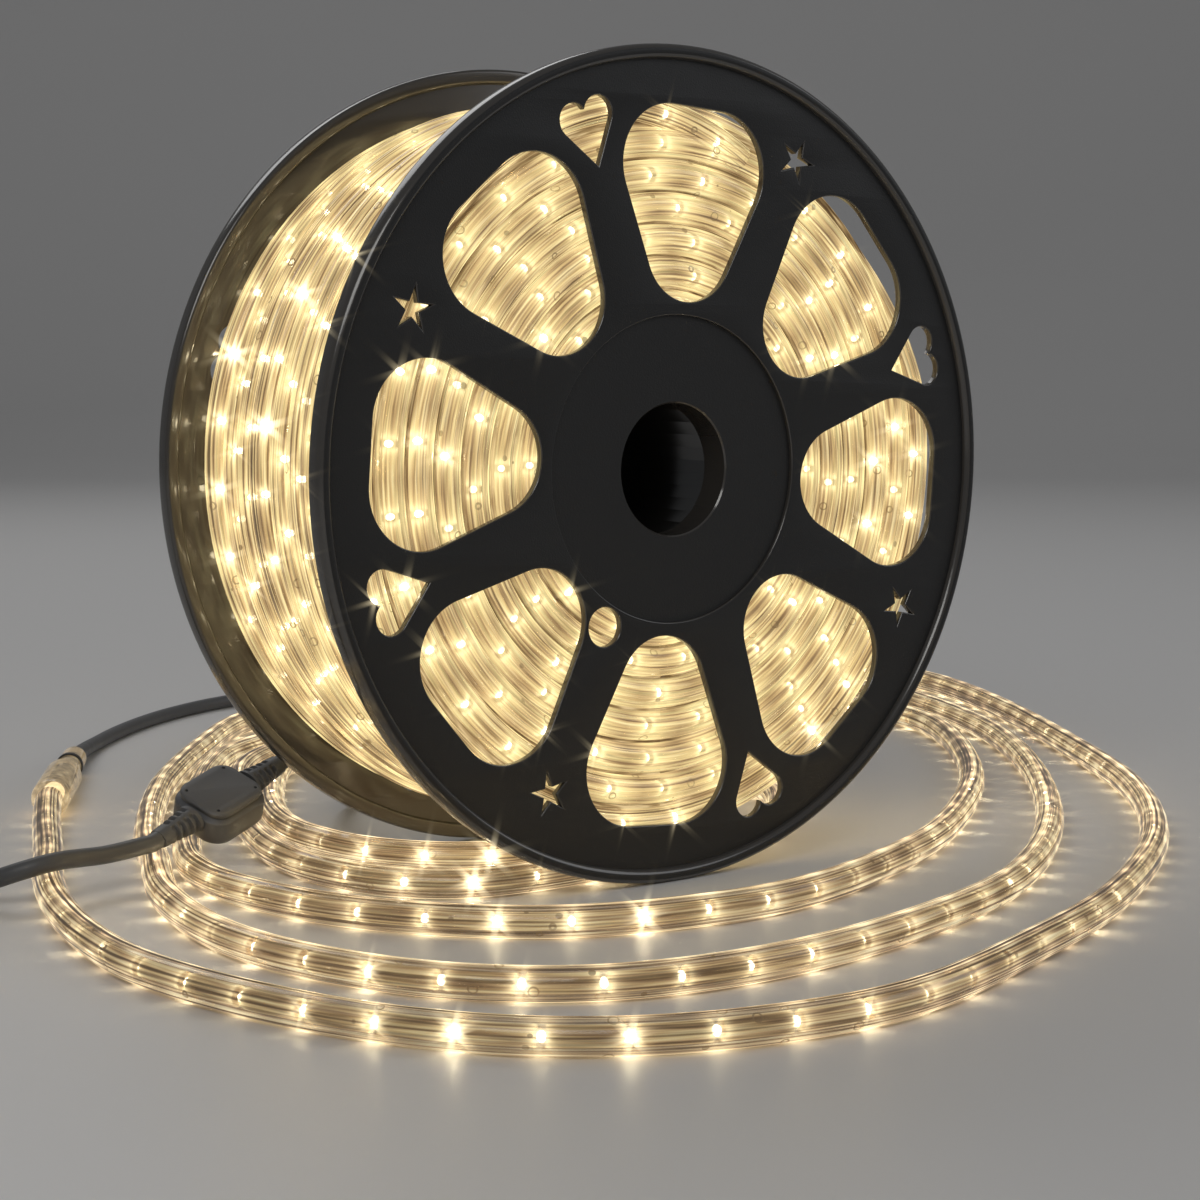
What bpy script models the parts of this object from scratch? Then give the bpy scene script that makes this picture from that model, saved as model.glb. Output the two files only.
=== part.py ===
"""LED rope light on its reel, with the loose end of the rope, its lead, rectifier and plug.

Metres, +Z up. The origin is on the floor under the middle of the reel. The reel's axis lies
along Y, and its front faces -Y.
"""

import math

import bmesh
import bpy
from mathutils import Matrix, Vector

# Gaps between pieces that touch
touch_gap = 0.0003
floor_gap = 0.0002

# Rope and the coil that it is wound into
rope_diameter = 0.0127
rope_radius = rope_diameter / 2
turns_across = 9
layers_deep = 7
layer_pitch = 0.0131
coil_side_clearance = 0.0005
coil_steps = 40

# Barrel of the reel
barrel_radius = 0.060
barrel_wall = 0.0025
barrel_steps = 64

# Flanges of the reel
flange_radius = 0.170
flange_steps = 64
web_thickness = 0.0036
rim_width = 0.006
rim_proud_outside = 0.003
rim_proud_inside = 0.002
rim_chamfer = 0.0012
rim_slope = 0.0012
hub_recess_radius = 0.0625
hub_recess_depth = 0.0016
spigot_wall = 0.002
spigot_length = 0.006
bore_radius = 0.027
collar_wall = 0.0025
collar_length = 0.012

# Windows in each flange. Angles run clockwise from the top, seen from outside.
window_count = 8
window_first_angle = 4.3
window_rim_inset = 0.048
window_outer_offset = 0.0125
window_outer_radius = 0.024
window_hub_gap = 0.0055
window_inner_radius = 0.022
heart_count = 4
heart_first_angle = -18.2
heart_rim_inset = 0.0235
heart_lobe_radius = 0.0068
heart_lobe_offset = 0.0062
heart_length = 0.0200
star_count = 4
star_first_angle = 26.8
star_rim_inset = 0.028
star_points = 5
star_tip_radius = 0.0088
star_valley_radius = 0.0030
rope_hole_gap = 0.004
rope_hole_window_gap = 0.001866
rope_hole_radius = 0.008

# Power connector on the rope's end
connector_sleeve_radius = 0.0090
connector_sleeve_length = 0.066
connector_neck_radius = 0.0062
connector_neck_length = 0.052
connector_ring_radius = 0.0068
connector_ring_length = 0.005
connector_end = Vector((-0.1500, 0.2180, 0.0092))
connector_heading = Vector((0.512, 0.859, 0.0))

# Cable of the lead and of the supply cord
cable_diameter = 0.0076
cable_radius = cable_diameter / 2

# Rectifier, lying on the rope
rectifier_length = 0.034
rectifier_width = 0.030
rectifier_height = 0.016
rectifier_drop = 0.0015
rectifier_corner = 0.009
rectifier_edge = 0.002
rectifier_middle = Vector((-0.1382, 0.0743, 0.0287))
rectifier_heading = 17.0
rectifier_rise = 16.5
rectifier_roll = 24.0
relief_length = 0.020
relief_base_radius = 0.0070
relief_tip_radius = 0.0046
relief_flatness = 0.78
relief_ribs = 4
relief_rib_depth = 0.0009

# Coil of the supply cord's spare length, its tie and the plug that lies on it
supply_coil_middle = Vector((-0.3076, 0.0840, 0.0))
supply_coil_radius = 0.042
supply_coil_columns = 3
supply_coil_row_pitch = 0.0066
supply_coil_rows = 2
tie_thickness = 0.0009
tie_width = 0.008
tie_side_clearance = 0.0008
plug_heading = 180.0
plug_tail_place = Vector((0.0090, 0.0310, 0.0))
plug_tail_length = 0.022
plug_tail_radius = 0.0052
plug_body_length = 0.032
plug_body_width = 0.025
plug_body_height = 0.0170
plug_body_corner = 0.005
plug_body_edge = 0.0025
blade_length = 0.0175
blade_width = 0.0063
blade_thickness = 0.0015
blade_spacing = 0.0127

# Sizes that follow from the driving ones
coil_width = turns_across * rope_diameter
flange_spacing = coil_width + 2 * coil_side_clearance
coil_inner_radius = barrel_radius + touch_gap
coil_radius = coil_inner_radius + layers_deep * layer_pitch
reel_middle = Vector((0.0, 0.0, flange_radius))
rope_floor_height = rope_radius + floor_gap
cable_floor_height = cable_radius + floor_gap
window_outer_place = flange_radius - window_rim_inset
window_inner_place = hub_recess_radius + window_hub_gap + window_inner_radius
heart_place = flange_radius - heart_rim_inset
star_place = flange_radius - star_rim_inset
rope_hole_place = barrel_radius + rope_hole_gap + rope_hole_radius
rope_hole_reach = window_inner_radius + rope_hole_window_gap + rope_hole_radius

# Route of the loose rope, from the connector to the coil, in millimetres: x, y, height
ROPE_ROUTE = [
    (-166, 186, 7.2), (-177, 162, 6.5), (-201, 108, 6.5),
    (-219, 69, 6.5), (-236, 23, 6.5), (-249, -31, 6.5), (-253, -83, 6.5), (-243, -143, 6.5),
    (-221, -198, 6.5), (-186, -240, 6.5), (-135, -265, 6.5), (-70, -271, 6.5), (12, -247, 6.5),
    (99, -211, 6.5), (199, -146, 6.5), (285, -61, 6.5), (359, 46, 6.5), (431, 167, 6.5),
    (476, 267, 6.5), (480, 340, 6.5), (452, 408, 6.5), (395, 447, 6.5), (320, 459, 6.5),
    (240, 451, 6.5), (165, 438, 6.5), (95, 416, 6.5), (37, 380, 6.5), (-21, 314, 6.5),
    (-57, 269, 6.5), (-88, 226, 6.5), (-117, 179, 6.5), (-136, 145, 6.5), (-158, 102, 6.5),
    (-168, 76, 6.5), (-195, 14, 6.5), (-208, -50, 6.5), (-203, -107, 6.5), (-178, -161, 6.5),
    (-134, -196, 6.5), (-70, -207, 6.5), (7, -196, 6.5), (92, -165, 6.5), (186, -97, 6.5),
    (281, 0, 6.5), (359, 105, 6.5), (408, 213, 6.5), (414, 275, 6.5), (390, 330, 6.5),
    (345, 366, 6.5), (285, 382, 6.5), (220, 380, 6.5), (145, 366, 6.5), (75, 345, 6.5),
    (32, 322, 6.5), (-16, 290, 6.5), (-48, 252, 6.5), (-75, 212, 6.5), (-103, 167, 6.5),
    (-122, 133, 6.5), (-141, 99, 6.5), (-153, 75, 6.5), (-163, 48, 6.5), (-167, 10, 6.5),
    (-156, -42, 6.5), (-131, -84, 6.5), (-96, -115, 6.5), (-50, -130, 6.5), (3, -132, 6.5),
    (69, -112, 6.5), (141, -75, 6.5), (233, -3, 6.5), (305, 76, 6.5), (353, 148, 6.5),
    (366, 205, 6.5), (354, 252, 6.5), (318, 294, 6.5), (262, 317, 6.5), (200, 322, 6.5),
    (130, 316, 6.5), (70, 306, 6.5), (25, 292, 6.5), (-12, 268, 6.5), (-40, 236, 6.5),
    (-61, 199, 6.5), (-85, 154, 6.5), (-103, 110, 6.5), (-118, 65, 6.5), (-122, 25, 6.5),
    (-113, -12, 6.5), (-92, -36, 6.5), (-62, -44, 6.5), (-20, -44, 6.5), (30, -40, 6.5),
    (75, -25, 6.5), (115, 5, 6.5), (145, 50, 6.5), (163, 105, 6.5), (163, 165, 6.5),
    (144, 225, 6.5), (108, 264, 6.5), (68, 278, 6.5), (30, 274, 6.5), (0, 256, 6.5),
    (-22, 230, 6.5), (-47, 191, 6.5), (-72, 146, 6.5), (-87, 108, 6.5), (-92, 75, 6.5),
    (-86, 38, 6.5), (-67, 10, 6.5), (-40, -6, 7.0), (-15, -12, 9.8),
]
ROPE_POINTS = 80
# Where the loose rope lies on the coil, in degrees round from the bottom, and its place along Y
rope_wrap_end = 36
rope_wrap_step = 6
rope_wrap_place = -rope_diameter
# Bend, as one over its radius, below which a cord's points come no further apart
gentlest_bend = 1.5

# Route of the lead, from the connector to the rectifier, in millimetres: x, y, height
LEAD_ROUTE = [
    (-66, 357, 6.2), (-47, 383, 4.2), (-22, 410, 4.0),
    (8, 437, 4.0), (40, 460, 4.0), (78, 479, 4.0), (110, 483, 5.0), (132, 470, 9.5),
    (142, 452, 15.4), (146, 434, 17.2), (147, 416, 15.4), (147, 397, 12.8), (145, 380, 14.8),
    (141, 365, 17.2), (137, 349, 15.2), (133, 332, 15.2), (128, 315.5, 17.2), (122, 298, 15.0),
    (115, 281, 15.0), (107, 264.5, 17.2), (98, 248, 14.5), (87, 232, 9.0), (73, 216, 5.0),
    (54, 201, 4.0), (32, 189, 4.0), (8, 178, 4.0), (-14, 166, 5.0), (-31, 151, 9.0),
    (-44, 133, 16.0), (-55, 117, 25.0), (-68, 104, 34.0), (-83, 94.5, 40.0),
]
LEAD_POINTS = 60

# Route of the supply cord, from the rectifier to its coil, in millimetres: x, y, height
SUPPLY_ROUTE = [
    (-182, 61.8, 16.6), (-190, 61, 15.9), (-200, 59, 15.7), (-210, 56.5, 16.4),
    (-221, 52.5, 17.4), (-229, 51, 17.1), (-237, 53.5, 15.2), (-243.5, 59.5, 12.2),
    (-247.5, 67, 9.0), (-249.5, 75, 6.6), (-250, 84, 5.3),
]
SUPPLY_POINTS = 16

for old_object in list(bpy.data.objects):
    bpy.data.objects.remove(old_object, do_unlink=True)

parts = bpy.data.collections.new("led_rope_light")
cutters = bpy.data.collections.new("cutters")
cutters.hide_render = True
bpy.context.scene.collection.children.link(parts)
bpy.context.scene.collection.children.link(cutters)


def plain_material(name, colour, roughness, metallic=0.0):
    material = bpy.data.materials.new(name)
    material.use_nodes = True
    shader = material.node_tree.nodes["Principled BSDF"]
    shader.inputs["Base Color"].default_value = (*colour, 1.0)
    shader.inputs["Roughness"].default_value = roughness
    shader.inputs["Metallic"].default_value = metallic
    return material


flange_plastic = plain_material("flange_plastic", (0.012, 0.012, 0.013), 0.45)
lit_rope = plain_material("lit_rope", (0.86, 0.66, 0.38), 0.25)
connector_plastic = plain_material("connector_plastic", (0.78, 0.66, 0.48), 0.2)
cable_plastic = plain_material("cable_plastic", (0.065, 0.065, 0.068), 0.5)
rectifier_plastic = plain_material("rectifier_plastic", (0.07, 0.07, 0.073), 0.45)
tie_plastic = plain_material("tie_plastic", (0.02, 0.02, 0.02), 0.5)
blade_metal = plain_material("blade_metal", (0.72, 0.70, 0.66), 0.3, 1.0)


def keep(piece, material):
    """Puts a piece in the object's collection with its material."""
    parts.objects.link(piece)
    piece.data.materials.clear()
    piece.data.materials.append(material)
    return piece


def turned(name, profile, steps, material, closed=True):
    """A profile of (radius, height) points, run down its outer side, turned about its own Z."""
    mesh = bpy.data.meshes.new(name)
    shape = bmesh.new()
    points = [shape.verts.new((radius, 0.0, height)) for radius, height in profile]
    for first, second in zip(points, points[1:]):
        shape.edges.new((first, second))
    if closed:
        shape.edges.new((points[-1], points[0]))
    shape.to_mesh(mesh)
    shape.free()
    piece = keep(bpy.data.objects.new(name, mesh), material)
    screw = piece.modifiers.new("turn", "SCREW")
    screw.axis = "Z"
    screw.angle = math.tau
    screw.steps = steps
    screw.render_steps = steps
    screw.use_merge_vertices = True
    screw.merge_threshold = 0.00002
    screw.use_smooth_shade = True
    return piece


def flat_curve(name, outlines, half_thickness, edge=0.0):
    """Closed flat outlines, filled and given a thickness; an outline inside another is a hole."""
    curve = bpy.data.curves.new(name, "CURVE")
    curve.dimensions = "2D"
    curve.fill_mode = "BOTH"
    curve.extrude = half_thickness - edge
    curve.bevel_depth = edge
    curve.bevel_resolution = 1
    curve.offset = -edge
    for outline in outlines:
        spline = curve.splines.new("POLY")
        spline.points.add(len(outline) - 1)
        for point, (x, y) in zip(spline.points, outline):
            point.co = (x, y, 0.0, 1.0)
        spline.use_cyclic_u = True
    return bpy.data.objects.new(name, curve)


def as_mesh(piece, collection):
    """A welded mesh object in place of a curve object."""
    collection.objects.link(piece)
    bpy.context.view_layer.update()
    seen = piece.evaluated_get(bpy.context.evaluated_depsgraph_get())
    mesh = bpy.data.meshes.new_from_object(seen)
    shape = bmesh.new()
    shape.from_mesh(mesh)
    bmesh.ops.remove_doubles(shape, verts=shape.verts, dist=0.00001)
    bmesh.ops.recalc_face_normals(shape, faces=shape.faces)
    shape.to_mesh(mesh)
    shape.free()
    solid = bpy.data.objects.new(piece.name, mesh)
    solid.matrix_world = piece.matrix_world.copy()
    name = piece.name
    bpy.data.objects.remove(piece)
    solid.name = name
    collection.objects.link(solid)
    return solid


def belt(circles, arc_step):
    """Outline of a belt round circles (x, y, radius), which are given anticlockwise."""
    normals = []
    for index, (x, y, radius) in enumerate(circles):
        next_x, next_y, next_radius = circles[(index + 1) % len(circles)]
        way = math.atan2(next_y - y, next_x - x)
        normals.append(way - math.acos((radius - next_radius) / math.hypot(next_x - x, next_y - y)))
    outline = []
    for index, (x, y, radius) in enumerate(circles):
        start = normals[index - 1]
        sweep = (normals[index] - start) % math.tau
        steps = max(1, round(sweep / arc_step))
        for step in range(steps + 1):
            angle = start + sweep * step / steps
            outline.append((x + radius * math.cos(angle), y + radius * math.sin(angle)))
    return outline


def round_box(length, width, corner, arc_step=math.radians(22.5)):
    """Outline of a rectangle with round corners, about the origin."""
    x = length / 2 - corner
    y = width / 2 - corner
    return belt([(x, -y, corner), (x, y, corner), (-x, y, corner), (-x, -y, corner)], arc_step)


def heart_outline(arc_steps=6):
    """A heart with its point down, about the middle of its lobes."""
    reach = math.hypot(heart_lobe_offset, heart_length)
    start = math.atan2(heart_length, heart_lobe_offset) - math.acos(-heart_lobe_radius / reach)
    finish = math.pi - math.acos(heart_lobe_offset / heart_lobe_radius)
    right = []
    for step in range(arc_steps + 1):
        angle = start + (finish - start) * step / arc_steps
        x = heart_lobe_offset + heart_lobe_radius * math.cos(angle)
        right.append((x, heart_lobe_radius * math.sin(angle)))
    right[-1] = (0.0, right[-1][1])
    return [(0.0, -heart_length)] + right + [(-x, y) for x, y in reversed(right[:-1])]


def star_outline():
    outline = []
    for index in range(2 * star_points):
        radius = star_valley_radius if index % 2 else star_tip_radius
        angle = math.pi / 2 + math.pi * index / star_points
        outline.append((radius * math.cos(angle), radius * math.sin(angle)))
    return outline


def placed(outline, place, angle):
    """Moves an outline out from the reel's axis, and round clockwise by degrees."""
    turn = math.radians(angle)
    sine = math.sin(turn)
    cosine = math.cos(turn)
    return [((y + place) * sine + x * cosine, (y + place) * cosine - x * sine) for x, y in outline]


def rope_hole_angle():
    """Where the rope hole lies, in degrees from the top, beside the window at its lower left."""
    between = (window_inner_place ** 2 + rope_hole_place ** 2 - rope_hole_reach ** 2) / (
        2 * window_inner_place * rope_hole_place
    )
    beside = window_first_angle - 3 * 360 / window_count
    return beside - math.degrees(math.acos(between))


def flange_windows():
    """Outlines of every window in a flange."""
    large = belt(
        [
            (window_outer_offset, window_outer_place, window_outer_radius),
            (-window_outer_offset, window_outer_place, window_outer_radius),
            (0.0, window_inner_place, window_inner_radius),
        ],
        math.radians(20),
    )
    windows = []
    for index in range(window_count):
        windows.append(placed(large, 0.0, window_first_angle + index * 360 / window_count))
    for index in range(heart_count):
        angle = heart_first_angle + index * 360 / heart_count
        windows.append(placed(heart_outline(), heart_place, angle))
    for index in range(star_count):
        angle = star_first_angle + index * 360 / star_count
        windows.append(placed(star_outline(), star_place, angle))
    hole = [
        (rope_hole_radius * math.cos(turn), rope_hole_radius * math.sin(turn))
        for turn in (math.tau * index / 16 for index in range(16))
    ]
    windows.append(placed(hole, rope_hole_place, rope_hole_angle()))
    return windows


def flange_profile():
    """Section of a flange, with its inner face at height 0 and its outer side upwards."""
    rim_top = web_thickness + rim_proud_outside
    rim_inner = flange_radius - rim_width
    spigot_outer = barrel_radius - barrel_wall - touch_gap
    return [
        (flange_radius - rim_chamfer, rim_top),
        (flange_radius, rim_top - rim_chamfer),
        (flange_radius, -rim_proud_inside),
        (rim_inner, -rim_proud_inside),
        (rim_inner - rim_slope, 0.0),
        (spigot_outer, 0.0),
        (spigot_outer, -spigot_length),
        (spigot_outer - spigot_wall, -spigot_length),
        (spigot_outer - spigot_wall, 0.0),
        (bore_radius + collar_wall, 0.0),
        (bore_radius + collar_wall, -collar_length),
        (bore_radius, -collar_length),
        (bore_radius, web_thickness - hub_recess_depth),
        (hub_recess_radius, web_thickness - hub_recess_depth),
        (hub_recess_radius, web_thickness),
        (rim_inner - rim_slope, web_thickness),
        (rim_inner, rim_top),
    ]


def make_flange(name, outward):
    """One flange, whose outer side faces -Y where outward is -1, and +Y where it is 1."""
    facing = (math.radians(90), 0.0, 0.0 if outward < 0 else math.pi)
    place = reel_middle + Vector((0.0, outward * flange_spacing / 2, 0.0))
    windows = flat_curve(name + "_windows", flange_windows(), 2 * (web_thickness + rim_width))
    windows.location = place
    windows.rotation_euler = facing
    windows = as_mesh(windows, cutters)
    windows.hide_render = True
    windows.display_type = "WIRE"
    flange = turned(name, flange_profile(), flange_steps, flange_plastic)
    flange.location = place
    flange.rotation_euler = facing
    cut = flange.modifiers.new("windows", "BOOLEAN")
    cut.operation = "DIFFERENCE"
    cut.solver = "EXACT"
    cut.object = windows
    return flange


def ridge(place, side, half_pitch):
    """Three points over one turn of rope: (along the row, out from its flat)."""
    return [
        (place + side * half_pitch * 0.82, rope_radius * 0.57),
        (place, rope_radius),
        (place - side * half_pitch * 0.82, rope_radius * 0.57),
    ]


def coil_profile():
    """Section of the wound rope: turns show on its outside, and layers on its two ends."""
    end_flat = coil_width / 2 - rope_radius
    outer_flat = coil_radius - rope_radius
    profile = []
    for turn in range(turns_across):
        middle = coil_width / 2 - (turn + 0.5) * rope_diameter
        for along, out in ridge(middle, 1, rope_radius):
            profile.append((outer_flat + out, along))
    for layer in range(layers_deep):
        middle = coil_radius - (layer + 0.5) * layer_pitch
        profile.append((middle, -end_flat - rope_radius))
        profile.append((middle - layer_pitch / 2, -end_flat - rope_radius * 0.35))
    for layer in reversed(range(layers_deep)):
        middle = coil_radius - (layer + 0.5) * layer_pitch
        profile.append((middle - layer_pitch / 2, end_flat + rope_radius * 0.35))
        profile.append((middle, end_flat + rope_radius))
    return profile


def smooth_curve(route):
    """Closely spaced points on a smooth curve through a route."""
    ends = [2 * route[0] - route[1]] + route + [2 * route[-1] - route[-2]]
    fine = []
    for before, start, finish, after in zip(ends, ends[1:], ends[2:], ends[3:]):
        for step in range(20):
            t = step / 20
            linear = (finish - before) * t
            square = (2 * before - 5 * start + 4 * finish - after) * t ** 2
            cube = (3 * start - before - 3 * finish + after) * t ** 3
            fine.append((2 * start + linear + square + cube) / 2)
    fine.append(route[-1].copy())
    return fine


def smooth_path(route, count, lowest):
    """Points of a smooth curve, closer where it bends more, and kept off the floor."""
    fine = smooth_curve(route)
    reached = [0.0]
    for index in range(len(fine) - 1):
        along = fine[index + 1] - fine[index]
        before = fine[index] - fine[index - 1] if index else along
        bend = along.angle(before, 0.0) / max(along.length, 1e-6)
        reached.append(reached[-1] + along.length * math.sqrt(bend + gentlest_bend))
    path = []
    place = 0
    for index in range(count):
        wanted = reached[-1] * index / (count - 1)
        while place < len(fine) - 2 and reached[place + 1] < wanted:
            place += 1
        share = (wanted - reached[place]) / (reached[place + 1] - reached[place])
        point = fine[place].lerp(fine[place + 1], share)
        point.z = max(point.z, lowest)
        path.append(point)
    return path


def in_metres(route):
    return [Vector(point) / 1000 for point in route]


def cord_path(start, route, finish, count, lowest):
    """A smooth path between the straight stretches given for its two ends."""
    path = smooth_path(start[-1:] + route + finish[:1], count, lowest)
    return start[:-1] + path + finish[1:]


def tube(name, path, radius, material):
    curve = bpy.data.curves.new(name, "CURVE")
    curve.dimensions = "3D"
    curve.bevel_depth = radius
    curve.bevel_resolution = 2
    curve.use_fill_caps = True
    spline = curve.splines.new("POLY")
    spline.points.add(len(path) - 1)
    for point, place in zip(spline.points, path):
        point.co = (*place, 1.0)
    return keep(bpy.data.objects.new(name, curve), material)


def stand_along(piece, place, heading):
    """Puts a turned piece's foot at place, with its own Z along heading."""
    turn = heading.normalized().to_track_quat("Z", "Y").to_matrix().to_4x4()
    piece.matrix_world = Matrix.Translation(place) @ turn


def connector_profile():
    """Section of the connector, from the cable's end down to the rope's end, which is at 0."""
    total = connector_sleeve_length + connector_neck_length
    ring = connector_sleeve_length + connector_neck_length * 0.45
    dome = connector_sleeve_radius * 0.6
    return [
        (0.0, total),
        (connector_neck_radius * 0.85, total),
        (connector_neck_radius, total - 0.004),
        (connector_neck_radius, ring + connector_ring_length),
        (connector_ring_radius, ring + connector_ring_length),
        (connector_ring_radius, ring),
        (connector_neck_radius, ring),
        (connector_neck_radius, connector_sleeve_length),
        (connector_sleeve_radius * 0.86, connector_sleeve_length - dome * 0.25),
        (connector_sleeve_radius, connector_sleeve_length - dome),
        (connector_sleeve_radius, dome),
        (connector_sleeve_radius * 0.86, dome * 0.25),
        (connector_sleeve_radius * 0.72, 0.0),
        (0.0, 0.0),
    ]


def relief_profile():
    """Section of a ribbed strain relief, from its tip down to its foot at 0."""
    profile = [(0.0, relief_length), (relief_tip_radius, relief_length)]
    plain = relief_length * 0.28
    pitch = (relief_length - plain) / relief_ribs
    for rib in range(relief_ribs):
        top = relief_length - plain - rib * pitch
        share = 1 - top / relief_length
        radius = relief_tip_radius + (relief_base_radius - relief_tip_radius) * share
        profile.append((radius, top))
        profile.append((radius - relief_rib_depth, top - pitch * 0.25))
        profile.append((radius - relief_rib_depth, top - pitch * 0.55))
    profile.append((relief_base_radius, 0.0015))
    profile.append((relief_base_radius, 0.0))
    profile.append((0.0, 0.0))
    return profile


def connector_point(distance):
    """A point on the connector's axis, measured from the rope's end towards the cable's."""
    return connector_end + connector_heading.normalized() * distance


def rectifier_frame():
    """Matrix of the rectifier: its own X along its cables, and its own Z out of its lid."""
    return (
        Matrix.Translation(rectifier_middle)
        @ Matrix.Rotation(math.radians(rectifier_heading), 4, "Z")
        @ Matrix.Rotation(math.radians(-rectifier_rise), 4, "Y")
        @ Matrix.Rotation(math.radians(rectifier_roll), 4, "X")
    )


def relief_point(side, distance):
    """A point on a strain relief's axis, at a distance from where its cable's end lies."""
    reach = rectifier_length / 2 + relief_length + 2 * touch_gap + distance
    return rectifier_frame() @ Vector((side * reach, 0.0, 0.0))


def make_relief(name, side):
    """A strain relief on the rectifier's +X end where side is 1, and its -X end where it is -1."""
    relief = turned(name, relief_profile(), 16, rectifier_plastic, closed=False)
    foot = Matrix.Translation((side * (rectifier_length / 2 + touch_gap), 0.0, 0.0))
    flat = Matrix.Diagonal((relief_flatness, 1.0, 1.0, 1.0))
    relief.matrix_world = (
        rectifier_frame() @ foot @ Matrix.Rotation(side * math.radians(90), 4, "Y") @ flat
    )
    return relief


def make_reel():
    make_flange("front_flange", -1)
    make_flange("rear_flange", 1)
    half = flange_spacing / 2 - touch_gap
    inner = barrel_radius - barrel_wall
    profile = [(barrel_radius, half), (barrel_radius, -half), (inner, -half), (inner, half)]
    barrel = turned("barrel", profile, barrel_steps, flange_plastic)
    barrel.location = reel_middle
    barrel.rotation_euler = (math.radians(90), 0.0, 0.0)


def make_rope():
    coil = turned("rope_coil", coil_profile(), coil_steps, lit_rope)
    coil.location = reel_middle
    coil.rotation_euler = (math.radians(90), 0.0, 0.0)
    wrap_radius = coil_radius + touch_gap + rope_radius
    wrap = []
    for degrees in range(0, rope_wrap_end + 1, rope_wrap_step):
        turn = math.radians(degrees)
        across = wrap_radius * math.sin(turn)
        wrap.append(reel_middle + Vector((across, rope_wrap_place, -wrap_radius * math.cos(turn))))
    start = [connector_point(-touch_gap), connector_point(-touch_gap - rope_radius)]
    path = cord_path(start, in_metres(ROPE_ROUTE), wrap, ROPE_POINTS, rope_floor_height)
    tube("rope_tail", path, rope_radius, lit_rope)


def make_lead():
    connector = turned(
        "power_connector", connector_profile(), 16, connector_plastic, closed=False
    )
    stand_along(connector, connector_end, connector_heading)
    total = connector_sleeve_length + connector_neck_length + touch_gap
    start = [connector_point(total), connector_point(total + cable_diameter)]
    finish = [relief_point(1, cable_diameter), relief_point(1, 0.0)]
    path = cord_path(start, in_metres(LEAD_ROUTE), finish, LEAD_POINTS, cable_floor_height)
    tube("lead", path, cable_radius, cable_plastic)


def make_rectifier():
    outline = round_box(rectifier_length, rectifier_width, rectifier_corner)
    body = flat_curve("rectifier_body", [outline], rectifier_height / 2, rectifier_edge)
    body.matrix_world = rectifier_frame() @ Matrix.Translation((0.0, 0.0, -rectifier_drop))
    body = as_mesh(body, parts)
    body.data.materials.append(rectifier_plastic)
    make_relief("lead_strain_relief", 1)
    make_relief("supply_strain_relief", -1)


def make_supply_cord():
    start = [relief_point(-1, 0.0), relief_point(-1, cable_radius)]
    path = cord_path(start, in_metres(SUPPLY_ROUTE), [], SUPPLY_POINTS, cable_floor_height)
    tube("supply_cord", path, cable_radius, cable_plastic)
    base = floor_gap + tie_thickness + touch_gap
    half_width = supply_coil_columns * cable_diameter / 2
    height = cable_diameter + (supply_coil_rows - 1) * supply_coil_row_pitch
    top = base + height
    corner = cable_radius * 0.6
    outer = supply_coil_radius + half_width
    inner = supply_coil_radius - half_width
    profile = [
        (outer - corner, top),
        (outer, top - corner),
        (outer, base + corner),
        (outer - corner, base),
        (inner + corner, base),
        (inner, base + corner),
        (inner, top - corner),
        (inner + corner, top),
    ]
    ring = turned("supply_coil", profile, 32, cable_plastic)
    ring.location = supply_coil_middle

    tie_length = 2 * (half_width + tie_side_clearance + tie_thickness)
    tie_height = height + 2 * (touch_gap + tie_thickness)
    outside = round_box(tie_length, tie_height, corner)
    inside = round_box(
        tie_length - 2 * tie_thickness, tie_height - 2 * tie_thickness, corner * 0.6
    )
    tie = flat_curve("supply_tie", [outside, inside], tie_width / 2)
    tie.location = supply_coil_middle + Vector((0.0, -supply_coil_radius, base + height / 2))
    tie.rotation_euler = (math.radians(90), 0.0, math.radians(90))
    tie = as_mesh(tie, parts)
    tie.data.materials.append(tie_plastic)
    make_plug(top)


def make_plug(rests_at):
    """The plug, lying on the supply cord's coil with its blades beyond it."""
    middle_height = rests_at + touch_gap + plug_body_height / 2
    start = supply_coil_middle + plug_tail_place + Vector((0.0, 0.0, middle_height))
    frame = Matrix.Translation(start) @ Matrix.Rotation(math.radians(plug_heading), 4, "Z")
    tail_profile = [
        (0.0, plug_tail_length),
        (plug_tail_radius * 1.45, plug_tail_length),
        (plug_tail_radius * 1.2, plug_tail_length * 0.5),
        (plug_tail_radius, 0.0),
        (0.0, 0.0),
    ]
    tail = turned("plug_strain_relief", tail_profile, 16, cable_plastic, closed=False)
    tail.matrix_world = frame @ Matrix.Rotation(math.radians(90), 4, "Y")
    outline = round_box(plug_body_length, plug_body_width, plug_body_corner)
    body = flat_curve("plug_body", [outline], plug_body_height / 2, plug_body_edge)
    body_middle = plug_tail_length + touch_gap + plug_body_length / 2
    body.matrix_world = frame @ Matrix.Translation((body_middle, 0.0, 0.0))
    body = as_mesh(body, parts)
    body.data.materials.append(cable_plastic)
    blade_middle = plug_tail_length + 2 * touch_gap + plug_body_length + blade_length / 2
    for name, side in (("plug_blade_left", 1), ("plug_blade_right", -1)):
        mesh = bpy.data.meshes.new(name)
        shape = bmesh.new()
        bmesh.ops.create_cube(shape, size=1.0)
        bmesh.ops.scale(
            shape, vec=(blade_length, blade_thickness, blade_width), verts=shape.verts
        )
        shape.to_mesh(mesh)
        shape.free()
        blade = keep(bpy.data.objects.new(name, mesh), blade_metal)
        place = Matrix.Translation((blade_middle, side * blade_spacing / 2, 0.0))
        blade.matrix_world = frame @ place


make_reel()
make_rope()
make_lead()
make_rectifier()
make_supply_cord()

for piece in parts.objects:
    if piece.type == "MESH":
        piece.data.shade_smooth()
        piece.data.set_sharp_from_angle(angle=math.radians(30))
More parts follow.
